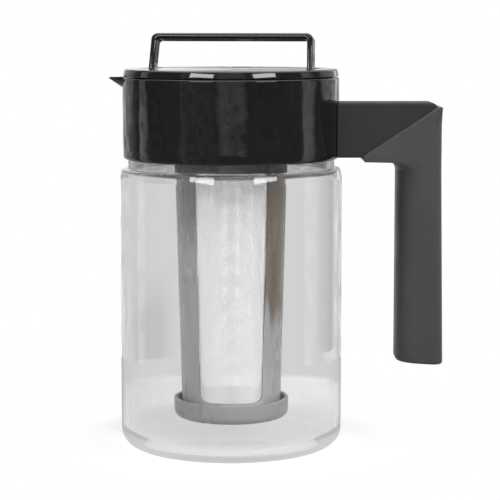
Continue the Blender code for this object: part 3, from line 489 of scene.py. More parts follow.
class Paint(Tree):
    """A material's node tree. Patterns read Object coordinates, in metres."""

    def __init__(self, name: str) -> None:
        """Starts a material with a Principled shader.

        Args:
            name: Name of the material.
        """
        self.material = bpy.data.materials.new(name)
        self.material.use_nodes = True
        super().__init__(self.material.node_tree)
        self.shader = self.tree.nodes["Principled BSDF"]
        self.output = self.tree.nodes["Material Output"]
        self.point = self.node("ShaderNodeTexCoord").outputs["Object"]

    def axes(self) -> tuple[Socket, Socket, Socket]:
        """Splits the point that patterns read.

        Returns:
            Its x, y and z.
        """
        made = self.node("ShaderNodeSeparateXYZ")
        self.feed(made.inputs[0], self.point)
        return tuple(made.outputs)

    def noise(self, size: float, detail: float = 2.0, tall: float = 1.0, wide: float = 1.0) -> Socket:
        """Adds soft noise.

        Args:
            size: About the size of its features, in metres.
            detail: How many finer layers it has.
            tall: How much it is drawn out along Z.
            wide: How much it is drawn out along Y.

        Returns:
            The noise, about 0.3 to 0.7.
        """
        place = self.node("ShaderNodeMapping")
        self.feed(place.inputs["Vector"], self.point)
        place.inputs["Scale"].default_value = [1 / (size * stretch) for stretch in (1.0, wide, tall)]
        made = self.node("ShaderNodeTexNoise")
        made.inputs["Scale"].default_value = 1.0
        made.inputs["Detail"].default_value = detail
        self.feed(made.inputs["Vector"], place.outputs[0])
        return made.outputs["Fac"]

    def blend(self, share: object, first: object, second: object) -> Socket:
        """Blends two colours.

        Args:
            share: How much of the second shows.
            first: A colour or another node's output.
            second: The same for the other.

        Returns:
            The blended colour.
        """
        made = self.node("ShaderNodeMix", data_type="RGBA")
        self.feed(made.inputs["Factor"], share)
        for name, value in (("A", first), ("B", second)):
            self.feed(made.inputs[name], (*value, 1) if isinstance(value, tuple) else value)
        return made.outputs["Result"]

    def bump(self, height: Socket, depth: float, under: Socket | None = None) -> Socket:
        """Bends the normal by a height.

        Args:
            height: The height, from 0 to 1.
            depth: How deep 1 is, in metres.
            under: The normal that it starts from.

        Returns:
            The new normal.
        """
        made = self.node("ShaderNodeBump")
        made.inputs["Strength"].default_value = 1.0
        made.inputs["Distance"].default_value = depth
        self.feed(made.inputs["Height"], height)
        if under is not None:
            self.feed(made.inputs["Normal"], under)
        return made.outputs[0]

    def mixed(self, share: Socket, first: Socket, second: Socket) -> Socket:
        """Mixes two shaders.

        Args:
            share: How much of the second shows.
            first: A shader.
            second: Another.

        Returns:
            The mixed shader.
        """
        made = self.node("ShaderNodeMixShader")
        for socket, value in zip(made.inputs, (share, first, second)):
            self.feed(socket, value)
        return made.outputs[0]

    def set(self, **values: object) -> bpy.types.Material:
        """Feeds the Principled shader's sockets.

        Args:
            **values: What each reads, by the socket's name with underscores for spaces.

        Returns:
            The material.
        """
        for name, value in values.items():
            self.feed(self.shader.inputs[name.replace("_", " ")], value)
        return self.material


def lit(colour: Corner, factor: float) -> Corner:
    """A colour made lighter or darker by a factor."""
    return tuple(min(1.0, part * factor) for part in colour)


@dataclass(frozen=True)
class Moulded:
    """Opaque moulded plastic or rubber: uneven shade and gloss, a fine grain and slow waves.

    Grain and wave are given as the size of a feature and its depth, in metres. Patches change the shade
    and smears the gloss.
    """

    name: str
    slot: Slot
    colour: Corner
    shade: float
    roughness: float
    unevenness: float
    grain: Pair
    wave: Pair
    wave_stretch: float = 1.0
    sheen: float = 0.0
    sheen_roughness: float = 0.6
    shine: float = 0.5
    patch: float = 0.018
    smear: float = 0.009

    def material(self) -> bpy.types.Material:
        """Builds the material.

        Returns:
            A new material.
        """
        paint = Paint(self.name)
        patches = paint.between(paint.noise(self.patch, 4.0, 2.2), 0, 1)
        colour = paint.blend(patches, lit(self.colour, 1 - self.shade), lit(self.colour, 1 + self.shade))
        smears = paint.noise(self.smear, 3.0, 3.0)
        rough = paint.between(smears, self.roughness - self.unevenness, self.roughness + self.unevenness)
        waves = paint.bump(paint.noise(self.wave[0], 1.0, self.wave_stretch), self.wave[1])
        normal = paint.bump(paint.noise(self.grain[0]), self.grain[1], waves)
        paint.set(Base_Color=colour, Roughness=rough, Normal=normal)
        paint.set(Sheen_Weight=self.sheen, Sheen_Roughness=self.sheen_roughness)
        return paint.set(Specular_IOR_Level=self.shine)


@dataclass(frozen=True)
class ClearPlastic:
    """The jar's clear plastic: a faint grey through its thickness, and slow waves in the wall.

    Rays that have crossed many surfaces end in a painted glow, an even emission that stands in for the light
    they lose; from a height below the shoulder up the glow is weaker, painted shade. The thick heel gets the
    same painted glow, fading upwards. The neck, and the middle of the shoulder, are painted darker in
    streaks:
    a painted shadow and reflection of the black collar round them.
    """

    name: str
    slot: Slot
    tint: Corner
    body: Corner
    density: float
    wave: float = 0.000030
    # Painted glow (an emission for deep rays and at the heel, weaker near the top) and painted collar shade.
    painted_glow: float = 0.68
    painted_glow_after: float = 3.5
    heel: float = 0.36
    heel_from: float = 0.004
    heel_to: float = 0.013
    shaded: float = 0.50
    dimmed: float = 0.30
    dimmed_from: float = 0.128
    shaded_from: float = 0.1384
    shaded_fade: float = 0.0006
    plate_from: float = 0.1362
    plate_fade: float = 0.0003
    plate_half: float = 0.036
    plate_side_fade: float = 0.010
    dimmed_fade: float = 0.006
    streak: float = 0.006
    ripple: float = 0.005
    wave_size: float = 0.011
    smear: float = 0.012
    roughness: Pair = (0.01, 0.035)
    index: float = 1.5

    def material(self) -> bpy.types.Material:
        """Builds the material, with a share that lets lamps reach what stands inside the jar.

        Returns:
            A new material.
        """
        paint = Paint(self.name)
        streaks = paint.between(paint.noise(self.streak, 2.0, 30.0), 0, 1, 0.25, 0.75)
        across, _, height = paint.axes()
        base = paint.blend(streaks, lit(self.tint, 0.985), lit(self.tint, 1.015))
        # Painted shade: the neck and shoulder middle go darker in streaks, the collar's shadow and
        # reflection.
        ripple = paint.between(paint.noise(self.ripple, 2.0, 0.4), 0.45, 1.0)
        neck = paint.between(height, 0, 1, self.shaded_from, self.shaded_from + self.shaded_fade)
        reach = self.plate_half, self.plate_half + self.plate_side_fade
        middle = paint.between(paint.math("ABSOLUTE", across), 1, 0, *reach)
        plate = paint.between(height, 0, 1, self.plate_from, self.plate_from + self.plate_fade)
        neck = paint.math("MAXIMUM", neck, paint.math("MULTIPLY", middle, plate))
        base = paint.blend(paint.math("MULTIPLY", neck, ripple), base, lit(self.tint, self.shaded))
        waves = paint.bump(paint.noise(self.wave_size, 1.0, 9.0), self.wave)
        rough = paint.between(paint.noise(self.smear, 4.0, 2.5), *self.roughness, 0.35, 0.75)
        paint.set(Base_Color=base, Roughness=rough, Normal=waves, IOR=self.index, Transmission_Weight=1.0)
        absorb = paint.node("ShaderNodeVolumeAbsorption")
        absorb.inputs["Color"].default_value = (*self.body, 1)
        absorb.inputs["Density"].default_value = self.density
        paint.feed(paint.output.inputs["Volume"], absorb.outputs[0])
        rays = paint.rays()
        through = paint.node("ShaderNodeBsdfTransparent")
        through.inputs["Color"].default_value = (*lit(self.tint, 1.01), 1)
        # Painted glow: an emission shown by deep rays and at the heel, weaker near the top as painted shade.
        painted_glow = paint.node("ShaderNodeEmission")
        fade = self.dimmed_from, self.dimmed_from + self.dimmed_fade
        paint.feed(painted_glow.inputs["Strength"], paint.between(height, self.painted_glow, self.dimmed, *fade))
        deep = paint.math("GREATER_THAN", rays["Ray Depth"], self.painted_glow_after)
        deep = paint.math("MULTIPLY", deep, paint.math("LESS_THAN", rays["Diffuse Depth"], 0.5))
        heel_glow = paint.between(height, self.heel, 0.0, self.heel_from, self.heel_to)
        seen = paint.mixed(paint.math("MAXIMUM", deep, heel_glow), paint.shader.outputs[0], painted_glow.outputs[0])
        lamps = paint.mixed(rays["Is Shadow Ray"], seen, through.outputs[0])
        paint.feed(paint.output.inputs["Surface"], lamps)
        return paint.material


@dataclass(frozen=True)
class SmokePlastic:
    """The infuser's smoke grey plastic, paler towards the foot, with drawn streaks along the ribs.

    The frame's darker top is painted shade, the collar's shadow. On the handle's side the plastic is tinted
    brown between two heights.
    """

    name: str
    slot: Slot
    upper: Corner
    lower: Corner
    low: float
    high: float
    brown_tint: Corner = (0.112, 0.079, 0.049)
    pale_side: float = 1.25
    side_fade: float = 0.004
    brown_from: Pair = (0.012, 0.016)
    brown_low: float = 0.060
    brown_low_fade: float = 0.012
    brown_high: float = 0.134
    brown_high_fade: float = 0.006
    streak: float = 0.0035
    drift: float = 0.003
    wander: float = 0.008
    blotch: float = 0.006
    wave: Pair = (0.007, 0.00004)
    grain: Pair = (0.0007, 0.000006)
    smear: float = 0.010
    roughness: Pair = (0.22, 0.38)
    clearness: float = 0.12

    def material(self) -> bpy.types.Material:
        """Builds the material.

        Returns:
            A new material.
        """
        paint = Paint(self.name)
        across, _, height = paint.axes()
        streaks = paint.noise(self.streak, 3.0, 30.0)
        # Painted shade: from low to high the colour turns to the darker upper one, the collar's shadow on the
        # frame.
        drift = paint.math("MULTIPLY_ADD", paint.between(streaks, -1, 1), self.drift, height)
        fade = paint.between(drift, 0, 1, self.low, self.high)
        near = paint.blend(fade, self.lower, self.upper)
        far = paint.blend(fade, lit(self.lower, self.pale_side), self.upper)
        colour = paint.blend(paint.between(across, 0, 1, -self.side_fade, self.side_fade), near, far)
        # A brown tint in blotches on the handle's side, between two heights.
        wander = paint.math("MULTIPLY_ADD", paint.between(streaks, -1, 1), self.wander, height)
        share = paint.between(paint.noise(self.blotch, 3.0, 5.0), 0.75, 1.0)
        for limit in (
            paint.between(across, 0, 1, *self.brown_from),
            paint.between(wander, 0, 1, self.brown_low, self.brown_low + self.brown_low_fade),
            paint.between(height, 1, 0, self.brown_high, self.brown_high + self.brown_high_fade),
        ):
            share = paint.math("MULTIPLY", share, limit)
        colour = paint.blend(share, colour, self.brown_tint)
        waves = paint.bump(paint.noise(self.wave[0], 1.0, 8.0), self.wave[1])
        normal = paint.bump(paint.noise(self.grain[0]), self.grain[1], waves)
        rough = paint.between(paint.noise(self.smear, 3.0, 4.0), *self.roughness)
        paint.set(Base_Color=colour, Roughness=rough, Normal=normal)
        return paint.set(Transmission_Weight=self.clearness)


@dataclass(frozen=True)
class WovenMesh:
    """Fine woven filter cloth: two sets of threads that cross, with open holes between them.

    Round the axis the threads follow angle x radius and height; on a flat disc they follow x and y.
    """

    name: str
    slot: Slot
    colour: Corner
    pitch: float
    thread: float
    radius: float
    flat: bool
    soft: float = 0.06
    roughness: float = 0.45

    def material(self) -> bpy.types.Material:
        """Builds the material.

        Returns:
            A new material.
        """
        paint = Paint(self.name)
        x, y, z = paint.axes()
        if self.flat:
            along, across = paint.math("ADD", x, y), paint.math("SUBTRACT", x, y)
        else:
            along = paint.math("MULTIPLY", paint.math("ARCTAN2", x, y), self.radius)
            across = z
        threads, rows = [], []
        for direction in (along, across):
            count = paint.math("DIVIDE", direction, self.pitch)
            fall = paint.math("ABSOLUTE", paint.math("SUBTRACT", paint.math("FRACT", count), 0.5))
            threads.append(paint.between(fall, 1, 0, self.thread / 2, self.thread / 2 + self.soft))
            rows.append(paint.math("SINE", paint.math("MULTIPLY", count, math.pi)))
        cover = paint.math("MAXIMUM", *threads)
        over = paint.math("MULTIPLY", *rows)
        # Painted shade: threads lying over are lighter, those under darker.
        shade = paint.blend(paint.between(over, 0, 1, -1, 1), lit(self.colour, 0.94), lit(self.colour, 1.03))
        normal = paint.bump(paint.math("MULTIPLY", over, cover), self.pitch / 6)
        return paint.set(Base_Color=shade, Roughness=self.roughness, Normal=normal, Alpha=cover)


@dataclass(frozen=True)
class Seal:
    """Pale silicone, a little see-through, with a dusty skin."""

    name: str
    slot: Slot
    colour: Corner
    dust: float = 0.004
    grain: Pair = (0.0006, 0.00001)
    smear: float = 0.003
    roughness: Pair = (0.38, 0.55)
    scatter: float = 0.25
    depth: float = 0.004

    def material(self) -> bpy.types.Material:
        """Builds the material.

        Returns:
            A new material.
        """
        paint = Paint(self.name)
        dust = paint.between(paint.noise(self.dust, 3.0), 0, 1)
        colour = paint.blend(dust, lit(self.colour, 0.93), self.colour)
        normal = paint.bump(paint.noise(self.grain[0]), self.grain[1])
        rough = paint.between(paint.noise(self.smear), *self.roughness)
        paint.set(Base_Color=colour, Roughness=rough, Normal=normal)
        return paint.set(Subsurface_Weight=self.scatter, Subsurface_Radius=(self.depth,) * 3)


@dataclass(frozen=True)
class TurnedSteel:
    """Turned steel: fine rings along X, as a lathe leaves them."""

    name: str
    slot: Slot
    colour: Corner
    ring: float = 0.0002
    stretch: float = 12.0
    depth: float = 0.000006
    smear: float = 0.002
    roughness: Pair = (0.22, 0.38)

    def material(self) -> bpy.types.Material:
        """Builds the material.

        Returns:
            A new material.
        """
        paint = Paint(self.name)
        rings = paint.noise(self.ring, 1.0, self.stretch, self.stretch)
        colour = paint.blend(paint.between(rings, 0, 1), lit(self.colour, 0.9), lit(self.colour, 1.05))
        normal = paint.bump(rings, self.depth)
        rough = paint.between(paint.noise(self.smear), *self.roughness)
        return paint.set(Base_Color=colour, Roughness=rough, Normal=normal, Metallic=1.0)


BLACK = (0.010, 0.010, 0.0105)
FINE_GRAIN = (0.0012, 0.0000015)
CLEAR = ClearPlastic("jar_clear", Slot.CLEAR, (0.955, 0.955, 0.957), (0.5, 0.5, 0.505), 22.0)
GLOSS_BLACK = Moulded(
    "lid_gloss_black", Slot.GLOSS, BLACK, 0.15, 0.055, 0.03, FINE_GRAIN, (0.010, 0.00013), 1.3
)
COLLAR_BLACK = Moulded(
    "collar_wavy_black", Slot.GLOSS, BLACK, 0.15, 0.055, 0.03, FINE_GRAIN, (0.009, 0.00024), 1.6
)
MATTE_BLACK = Moulded(
    "arm_satin_black", Slot.MATTE, (0.037, 0.037, 0.038), 0.10, 0.60, 0.05,
    (0.0006, 0.00002), (0.02, 0.00004), shine=0.12,
)
GRIP_GREY = Moulded(
    "grip_silicone", Slot.GRIP, (0.054, 0.054, 0.0545), 0.09, 0.48, 0.05,
    (0.0005, 0.00002), (0.013, 0.00008), 3.0, 0.05,
)
# The frame's darker upper colour is painted shade, the collar's shadow.
SMOKE = SmokePlastic("infuser_smoke", Slot.SMOKE, (0.140, 0.138, 0.137), (0.265,) * 3, 0.098, 0.120)
RING_SMOKE = SmokePlastic(
    "infuser_smoke_ring", Slot.SMOKE, (0.240,) * 3, (0.225,) * 3, 0.014, 0.024, pale_side=1.0
)
PALE_SEAL = Seal("seal_silicone", Slot.SEAL, (0.62, 0.62, 0.60))
PIN_STEEL = TurnedSteel("pin_steel_turned", Slot.STEEL, (0.60, 0.60, 0.60))
Finish = Moulded | ClearPlastic | SmokePlastic | WovenMesh | Seal | TurnedSteel


def deliver(
    piece: bpy.types.Object, body: Body, finish: Finish, node: str, material: bpy.types.Material | None = None
) -> bpy.types.Object:
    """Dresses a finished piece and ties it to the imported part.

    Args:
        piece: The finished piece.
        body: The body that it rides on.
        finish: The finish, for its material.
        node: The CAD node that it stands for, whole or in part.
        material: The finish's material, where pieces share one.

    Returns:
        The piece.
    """
    piece.data.materials.clear()
    piece.data.materials.append(material or finish.material())
    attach(piece, body.value)
    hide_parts(node)
    LOG.info("%s: %d faces on %s", piece.name, len(piece.data.polygons), body.value)
    return piece


# The pitcher


@dataclass
class Fits:
    """Sizes that more than one sub-assembly shares, as the part has them."""

    gap: float = 0.0003
    running: float = 0.0004
    jar_radius: float = 0.0546
    neck_radius: float = 0.0508
    neck_bore: float = 0.0478
    collar_bore: float = 0.0511
    collar_radius: float = 0.0530
    mouth_radius: float = 0.0484
    shoulder: float = 0.1380
    neck_top: float = 0.1618
    collar_bottom: float = 0.1425
    collar_top: float = 0.1824
    ledge: float = 0.1641
    lug_low: float = 0.1704
    lug_high: float = 0.1734
    lug_half: float = math.radians(10)
    bayonet_radius: float = 0.0502
    lock_low: float = 0.1495
    lock_high: float = 0.1511
    lid_turn: float = math.radians(-13.4)
    lid_bottom: float = 0.1829
    lid_top: float = 0.1864
    pivot: float = 0.1842

    def lock_gap(self) -> tuple[float, float]:
        """Low and high edge of the grooves that the lock ring sits in."""
        return self.lock_low - self.gap, self.lock_high + self.gap


@dataclass
class Jar:
    """The clear vessel, one moulding."""

    fits: Fits
    wall: float = 0.0028
    shoulder_wall: float = 0.0016
    floor: float = 0.0045
    heel: float = 0.0090
    heel_inside: float = 0.0076
    shoulder_round: float = 0.0022
    inner_round: float = 0.0010
    facet_inset: float = 0.0009
    facet_height: float = 0.0046
    facet_round: float = 0.0012
    rim_round: float = 0.0008
    groove_depth: float = 0.0011

    def build(self) -> bpy.types.Object:
        """Turns the vessel's profile, outside and inside, into one closed shell.

        Returns:
            The jar.
        """
        fits = self.fits
        bore, under = fits.jar_radius - self.wall, fits.shoulder - self.shoulder_wall
        outer, neck, groove = fits.jar_radius, fits.neck_radius, fits.neck_radius - self.groove_depth
        lock_low, lock_high = fits.lock_gap()
        corners = [
            (0, self.floor, 0), (bore, self.floor, self.heel_inside), (bore, under, self.inner_round),
            (fits.neck_bore, under, self.inner_round), (fits.neck_bore, fits.neck_top, self.rim_round),
            (neck, fits.neck_top, self.rim_round), (neck, lock_high, 0), (groove, lock_high, 0),
            (groove, lock_low, 0), (neck, lock_low, 0), (neck, fits.shoulder, self.rim_round),
            (outer - self.facet_inset, fits.shoulder, self.facet_round),
            (outer, fits.shoulder - self.facet_height, self.shoulder_round), (outer, 0, self.heel), (0, 0, 0),
        ]
        vessel = turned_mesh("jar_vessel", rounded_outline(corners, False, steps=12), False, segments=224)
        return deliver(settle(new_object(vessel), sharp=40), Body.PITCHER, CLEAR, "jar")


@dataclass
class Collar:
    """The gloss ring on the neck, with its beak spout, bayonet groove and handle tongue."""

    fits: Fits
    top_round: float = 0.0010
    foot_round: float = 0.0016
    mouth_round: float = 0.0005
    beak_reach: float = 0.0066
    beak_depth: float = 0.0066
    beak_half: float = 0.0085
    beak_taper: float = 0.885
    beak_wall: float = 0.0013
    slot_clearance: float = math.radians(2)
    tongue_reach: float = 0.0125
    tongue_half: float = 0.0080
    tongue_low: float = 0.1479
    tongue_height: float = 0.0170
    tongue_root: float = 0.0010
    tongue_round: float = 0.0015
    tongue_edge: float = 0.0004
    lock_depth: float = 0.0011
    columns: int = 288
    beak_columns: int = 73
    beak_angle: float = 0.18
    nudge: float = 1e-4
    beak_inset: float = 0.3
    channel_tip: float = 0.06

    def angles(self) -> np.ndarray:
        """Spreads the columns round the axis: even ones, a pair at each slot edge, close ones at the beak.

        Returns:
            Their angles.
        """
        half_slot = self.fits.lug_half + self.slot_clearance
        edges = [
            self.fits.lid_turn + math.tau * index / 3 + side * half_slot + nudge
            for index in range(3) for side in (-1, 1) for nudge in (-self.nudge, self.nudge)
        ]
        even = np.arange(self.columns) * math.tau / self.columns
        beak = math.pi + np.linspace(-self.beak_angle, self.beak_angle, self.beak_columns)
        return np.unique(np.round(np.concatenate([even, np.mod(edges, math.tau), beak]), 7))

    def beak_share(self, across: np.ndarray, down: np.ndarray) -> np.ndarray:
        """How far the beak stands out, from 0 at its root to 1 at its tip.

        Its slices are half ellipses that shrink towards the tip, so the point at a share s has
        sqrt((across / half width)^2 + (down / depth)^2) = 1 - taper s.
        """
        spread = np.sqrt((across / self.beak_half) ** 2 + (down / self.beak_depth) ** 2)
        return np.clip((1 - spread) / self.beak_taper, 0, 1)

    def outer(self, angles: np.ndarray, down: float, inset: float) -> np.ndarray:
        """Works out a row of the outer wall: the circle, pushed out by the beak.

        Args:
            angles: The columns' angles.
            down: Depth below the top.
            inset: How far the wall is drawn in.

        Returns:
            Array of columns x 3.
        """
        fits = self.fits
        x, y = (fits.collar_radius - inset) * np.cos(angles), (fits.collar_radius - inset) * np.sin(angles)
        share = self.beak_share(y, np.full_like(y, max(down, 0)))
        root = fits.collar_bore
        reach = root + share * (fits.collar_radius + self.beak_reach - root) - inset * self.beak_inset
        pushed = np.where((x < 0) & (share > 0) & (reach > -x), -reach, x)
        return np.stack([pushed, y, np.full_like(y, fits.collar_top - down)], -1)

    def channel(self, points: np.ndarray) -> np.ndarray:
        """Lowers points of the top face into the pouring channel, a half ellipse that thins to the tip.

        Args:
            points: A row of the top face.

        Returns:
            The lowered row.
        """
        fits = self.fits
        tip = fits.collar_radius + self.beak_reach - self.beak_wall
        share = np.clip((tip + points[..., 0]) / (tip - fits.collar_bore), 0, 1)
        half = (self.beak_half - self.beak_wall) * (self.channel_tip + (1 - self.channel_tip) * share)
        depth = (self.beak_depth - self.beak_wall) * share
        round_ = np.sqrt(np.clip(1 - (points[..., 1] / half) ** 2, 0, 1))
        lowered = points.copy()
        lowered[..., 2] = np.where(points[..., 0] < 0, points[..., 2] - depth * round_, points[..., 2])
        return lowered

    def build(self) -> list[bpy.types.Object]:
        """Skins the ring's profile, which changes with the angle at the beak and at the slots.

        Returns:
            The ring and the tongue.
        """
        fits = self.fits
        angles = self.angles()
        cos, sin = np.cos(angles), np.sin(angles)

        def ring(radius: float | np.ndarray, height: float) -> np.ndarray:
            """A circle, or a line whose radius changes with the angle, at one height."""
            return np.stack([radius * cos, radius * sin, np.full_like(cos, height)], -1)

        low = fits.collar_top - fits.collar_bottom - self.foot_round
        rows = [
            self.outer(angles, low + self.foot_round * math.sin(a), self.foot_round * (1 - math.cos(a)))
            for a in np.linspace(math.pi / 2, 0, 7)
        ]
        downs = np.linspace(low, self.beak_depth, 10)[1:-1], np.linspace(self.beak_depth, self.top_round, 20)
        rows += [self.outer(angles, down, 0) for down in np.concatenate(downs)]
        rows += [
            self.outer(angles, self.top_round * (1 - math.sin(a)), self.top_round * (1 - math.cos(a)))
            for a in np.linspace(0, math.pi / 2, 7)[1:]
        ]
        edge = rows[-1]
        offset = np.mod(angles - fits.lid_turn + math.pi / 3, math.tau / 3) - math.pi / 3
        in_slot = np.abs(offset) < fits.lug_half + self.slot_clearance
        mouth = np.where(in_slot, fits.bayonet_radius, fits.mouth_radius)
        inner_edge = ring(mouth + self.mouth_round, fits.collar_top)
        rows += [self.channel(edge + (inner_edge - edge) * share) for share in np.linspace(0, 1, 13)[1:]]
        rim = self.channel(inner_edge)
        for angle in np.linspace(0, math.pi / 2, 4)[1:]:
            turned = ring(mouth + self.mouth_round * (1 - math.sin(angle)), 0)
            turned[..., 2] = rim[..., 2] - self.mouth_round * (1 - math.cos(angle))
            rows.append(turned)
        groove_high, groove_low = fits.lug_high + fits.running, fits.lug_low - fits.running
        lock_low, lock_high = fits.lock_gap()
        inner, lock = fits.collar_bore, fits.collar_bore + self.lock_depth
        rows += [
            ring(radius, height)
            for radius, height in (
                (mouth, groove_high), (fits.bayonet_radius, groove_high), (fits.bayonet_radius, groove_low),
                (fits.mouth_radius, groove_low), (fits.mouth_radius, fits.ledge + self.mouth_round),
                (fits.mouth_radius + self.mouth_round, fits.ledge), (inner, fits.ledge), (inner, lock_high),
                (lock, lock_high), (lock, lock_low), (inner, lock_low), (inner, fits.collar_bottom),
            )
        ]
        gloss = COLLAR_BLACK.material()
        solid = grid_mesh("collar_ring", np.stack(rows), wrap_rows=True, caps=False)
        collar = settle(new_object(solid), sharp=30)
        deliver(collar, Body.PITCHER, COLLAR_BLACK, "collar", gloss)
        start, end = fits.collar_radius - self.tongue_root, fits.collar_radius + self.tongue_reach
        low, high = self.tongue_low, self.tongue_low + self.tongue_height
        outline = rounded_outline(
            [(start, low, 0), (end, low, self.tongue_round), (end, high, self.tongue_round), (start, high, 0)]
        )
        solid = grid_mesh("handle_tongue", slab_points(outline, self.tongue_half, self.tongue_edge))
        tongue = deliver(settle(new_object(solid)), Body.PITCHER, COLLAR_BLACK, "collar", gloss)
        return [collar, tongue]


@dataclass
class Handle:
    """The satin arm with its hanging leg, and the soft sleeve that ends at the arm in a mitre."""

    fits: Fits
    half_width: float = 0.0130
    arm_low: float = 0.1435
    arm_high: float = 0.1701
    edge: float = 0.0012
    end: float = 0.1003
    corner: float = 0.0028
    leg_inner: float = 0.0835
    leg_foot: float = 0.0448
    leg_round: float = 0.0040
    leg_end_round: float = 0.0016
    seat_lap: float = 0.0019
    bore_low: float = 0.1400
    screw_reach: float = 0.0060
    screw_spacing: float = 0.0084
    head_radius: float = 0.0029
    head_depth: float = 0.0024
    skin: float = 0.0023
    flare: float = 0.0015
    foot: float = 0.0414
    foot_slope: float = 0.0014
    sleeve_round: float = 0.0050
    grip_round: float = 0.0105
    soft: float = 0.0010
    foot_round: float = 0.0016
    fillet: float = 0.0042
    mitre_reach: float = 0.0114
    mitre_drop: float = 0.0021

    def frame_outline(self, grown: float) -> np.ndarray:
        """Draws the arm and leg in XZ.

        Args:
            grown: Gap that is added all round.

        Returns:
            The outline.
        """
        root, inner, outer = self.fits.collar_radius - self.seat_lap, self.leg_inner - grown, self.end + grown
        low, high, foot = self.arm_low - grown, self.arm_high + grown, self.leg_foot - grown
        return rounded_outline(
            [
                (root, low, 0), (inner, low, self.leg_round), (inner, foot, self.leg_end_round),
                (outer, foot, self.leg_end_round), (outer, high, self.corner + grown), (root, high, 0),
            ]
        )

    def frame_mesh(self, name: str, grown: float) -> bpy.types.Mesh:
        """Makes the arm and leg. At the root x follows sqrt(R^2 - y^2), so they lie against the collar.

        Args:
            name: Name of the mesh.
            grown: Gap that is added all round.

        Returns:
            The new mesh.
        """
        points = slab_points(self.frame_outline(grown), self.half_width + grown, self.edge, steps=8)
        radius = self.fits.collar_radius + self.fits.gap
        seat = np.sqrt(radius**2 - points[..., 1] ** 2)
        points[..., 0] = np.where(points[..., 0] < self.fits.collar_radius, seat, points[..., 0])
        return grid_mesh(name, points)

    def leg_corners(self, grown: float) -> list[bpy.types.Mesh]:
        """Makes what rounds the leg's upright edges on the finger side: the outside of a quarter circle.

        Args:
            grown: Gap that is added to the leg.

        Returns:
            One cutter for each edge.
        """
        face, flank = self.leg_inner - grown, self.half_width + grown
        reach = self.grip_round - self.skin + grown
        low, high = self.leg_foot - OVERRUN, self.arm_low - self.leg_round - grown - self.fits.gap
        angles = np.linspace(math.pi / 2, math.pi, 13)
        arc = np.column_stack([np.cos(angles), np.sin(angles)]) * reach + (face + reach, flank - reach)
        left, wide = face - OVERRUN, flank + OVERRUN
        outside = np.concatenate([arc, [(left, flank - reach), (left, wide), (face + reach, wide)]])
        return [lying_slab("leg_corner", outside * (1, side), low, high) for side in (-1, 1)]

    def build_frame(self) -> bpy.types.Object:
        """Builds the arm and leg, cuts the screws' counterbores and rounds the leg on the finger side.

        Returns:
            The frame.
        """
        frame = new_object(self.frame_mesh("handle_arm", 0.0))
        x, top = self.fits.collar_radius + self.screw_reach, self.arm_low + self.head_depth
        bores = [
            rod_mesh("bore", self.head_radius, (x, y, self.bore_low), (x, y, top))
            for y in (-self.screw_spacing / 2, self.screw_spacing / 2)
        ]
        joined(frame, Join.CUT, bores + self.leg_corners(0.0))
        return deliver(frame, Body.PITCHER, MATTE_BLACK, "handle_frame")

    def section(self, left: float, right: float, left_round: float, narrow: float) -> np.ndarray:
        """Draws a level slice of the sleeve: a box in XY with a quarter circle at each corner.

        Args:
            left: Its lowest x.
            right: Its highest x.
            left_round: Radius at the lowest x.
            narrow: Factor on its width in Y.

        Returns:
            The outline.
        """
        half = self.half_width + self.skin
        right_round = min(self.sleeve_round, (right - left) / 3)
        left_round = min(left_round, (right - left) / 2)
        parts = []
        for x, y, radius, quarter in (
            (right - right_round, right_round - half, right_round, 3),
            (right - right_round, half - right_round, right_round, 0),
            (left + left_round, half - left_round, left_round, 1),
            (left + left_round, left_round - half, left_round, 2),
        ):
            angles = math.pi / 2 * (quarter + np.linspace(0, 1, 13))
            across = (y + radius * np.sin(angles)) * narrow
            parts.append(np.column_stack([x + radius * np.cos(angles), across]))
        return np.concatenate(parts)

    def build_sleeve(self) -> bpy.types.Object:
        """Lofts the sleeve from its slanted foot, over the fillet under the arm, up the mitre.

        Returns:
            The sleeve.
        """
        fits = self.fits
        inner, outer = self.leg_inner - self.skin, self.end + self.skin
        under = self.arm_low - self.skin
        foot_face = outer + self.flare
        mitre_low = fits.collar_radius + self.mitre_reach
        rings = []
        for angle in np.linspace(0, math.pi / 2, 6):
            inset = self.foot_round * (1 - math.sin(angle))
            narrow = 1 - inset / (self.half_width + self.skin)
            flat = self.section(inner + inset, foot_face - inset, self.grip_round - inset, narrow)
            low = self.foot + self.foot_round * (1 - math.cos(angle))
            slope = self.foot_slope * (foot_face - flat[:, 0]) / (foot_face - inner)
            rings.append(np.column_stack([flat, low + slope]))
        top_of_grip = under - self.fillet
        for share in np.linspace(0, 1, 9)[1:-1]:
            face = foot_face + (outer - foot_face) * share
            flat = self.section(inner, face, self.grip_round, 1)
            slope = self.foot_slope * (face - flat[:, 0]) / (face - inner) * (1 - share)
            start = self.foot + self.foot_round
            rings.append(np.column_stack([flat, start + slope + share * (top_of_grip - start)]))
        levels = []
        for share in np.linspace(0, 1, 11):
            out = self.fillet * (1 - math.cos(math.pi / 2 * share))
            up = self.fillet * (1 - math.sin(math.pi / 2 * share))
            levels.append((inner - out, self.grip_round + (self.soft - self.grip_round) * share, under - up))
        start = self.arm_low + self.skin / 2
        climb = self.arm_high - self.mitre_drop - start
        levels += [
            (mitre_low + self.skin / 4, self.soft, under + self.skin / 8),
            (mitre_low - self.skin / 3, self.soft, self.arm_low),
        ]
        for share in np.linspace(0, 1, 13):
            levels.append((mitre_low + (self.end - mitre_low) * share, self.soft, start + climb * share))
        for left, left_round, height in levels:
            flat = self.section(left, outer, left_round, 1)
            rings.append(np.column_stack([flat, np.full(len(flat), height)]))
        sleeve = new_object(grid_mesh("grip_soft_sleeve", np.stack(rings)))
        hollow = new_object(self.frame_mesh("hollow", fits.gap))
        joined(hollow, Join.CUT, self.leg_corners(fits.gap))
        joined(sleeve, Join.CUT, [hollow.data])
        bpy.data.objects.remove(hollow)
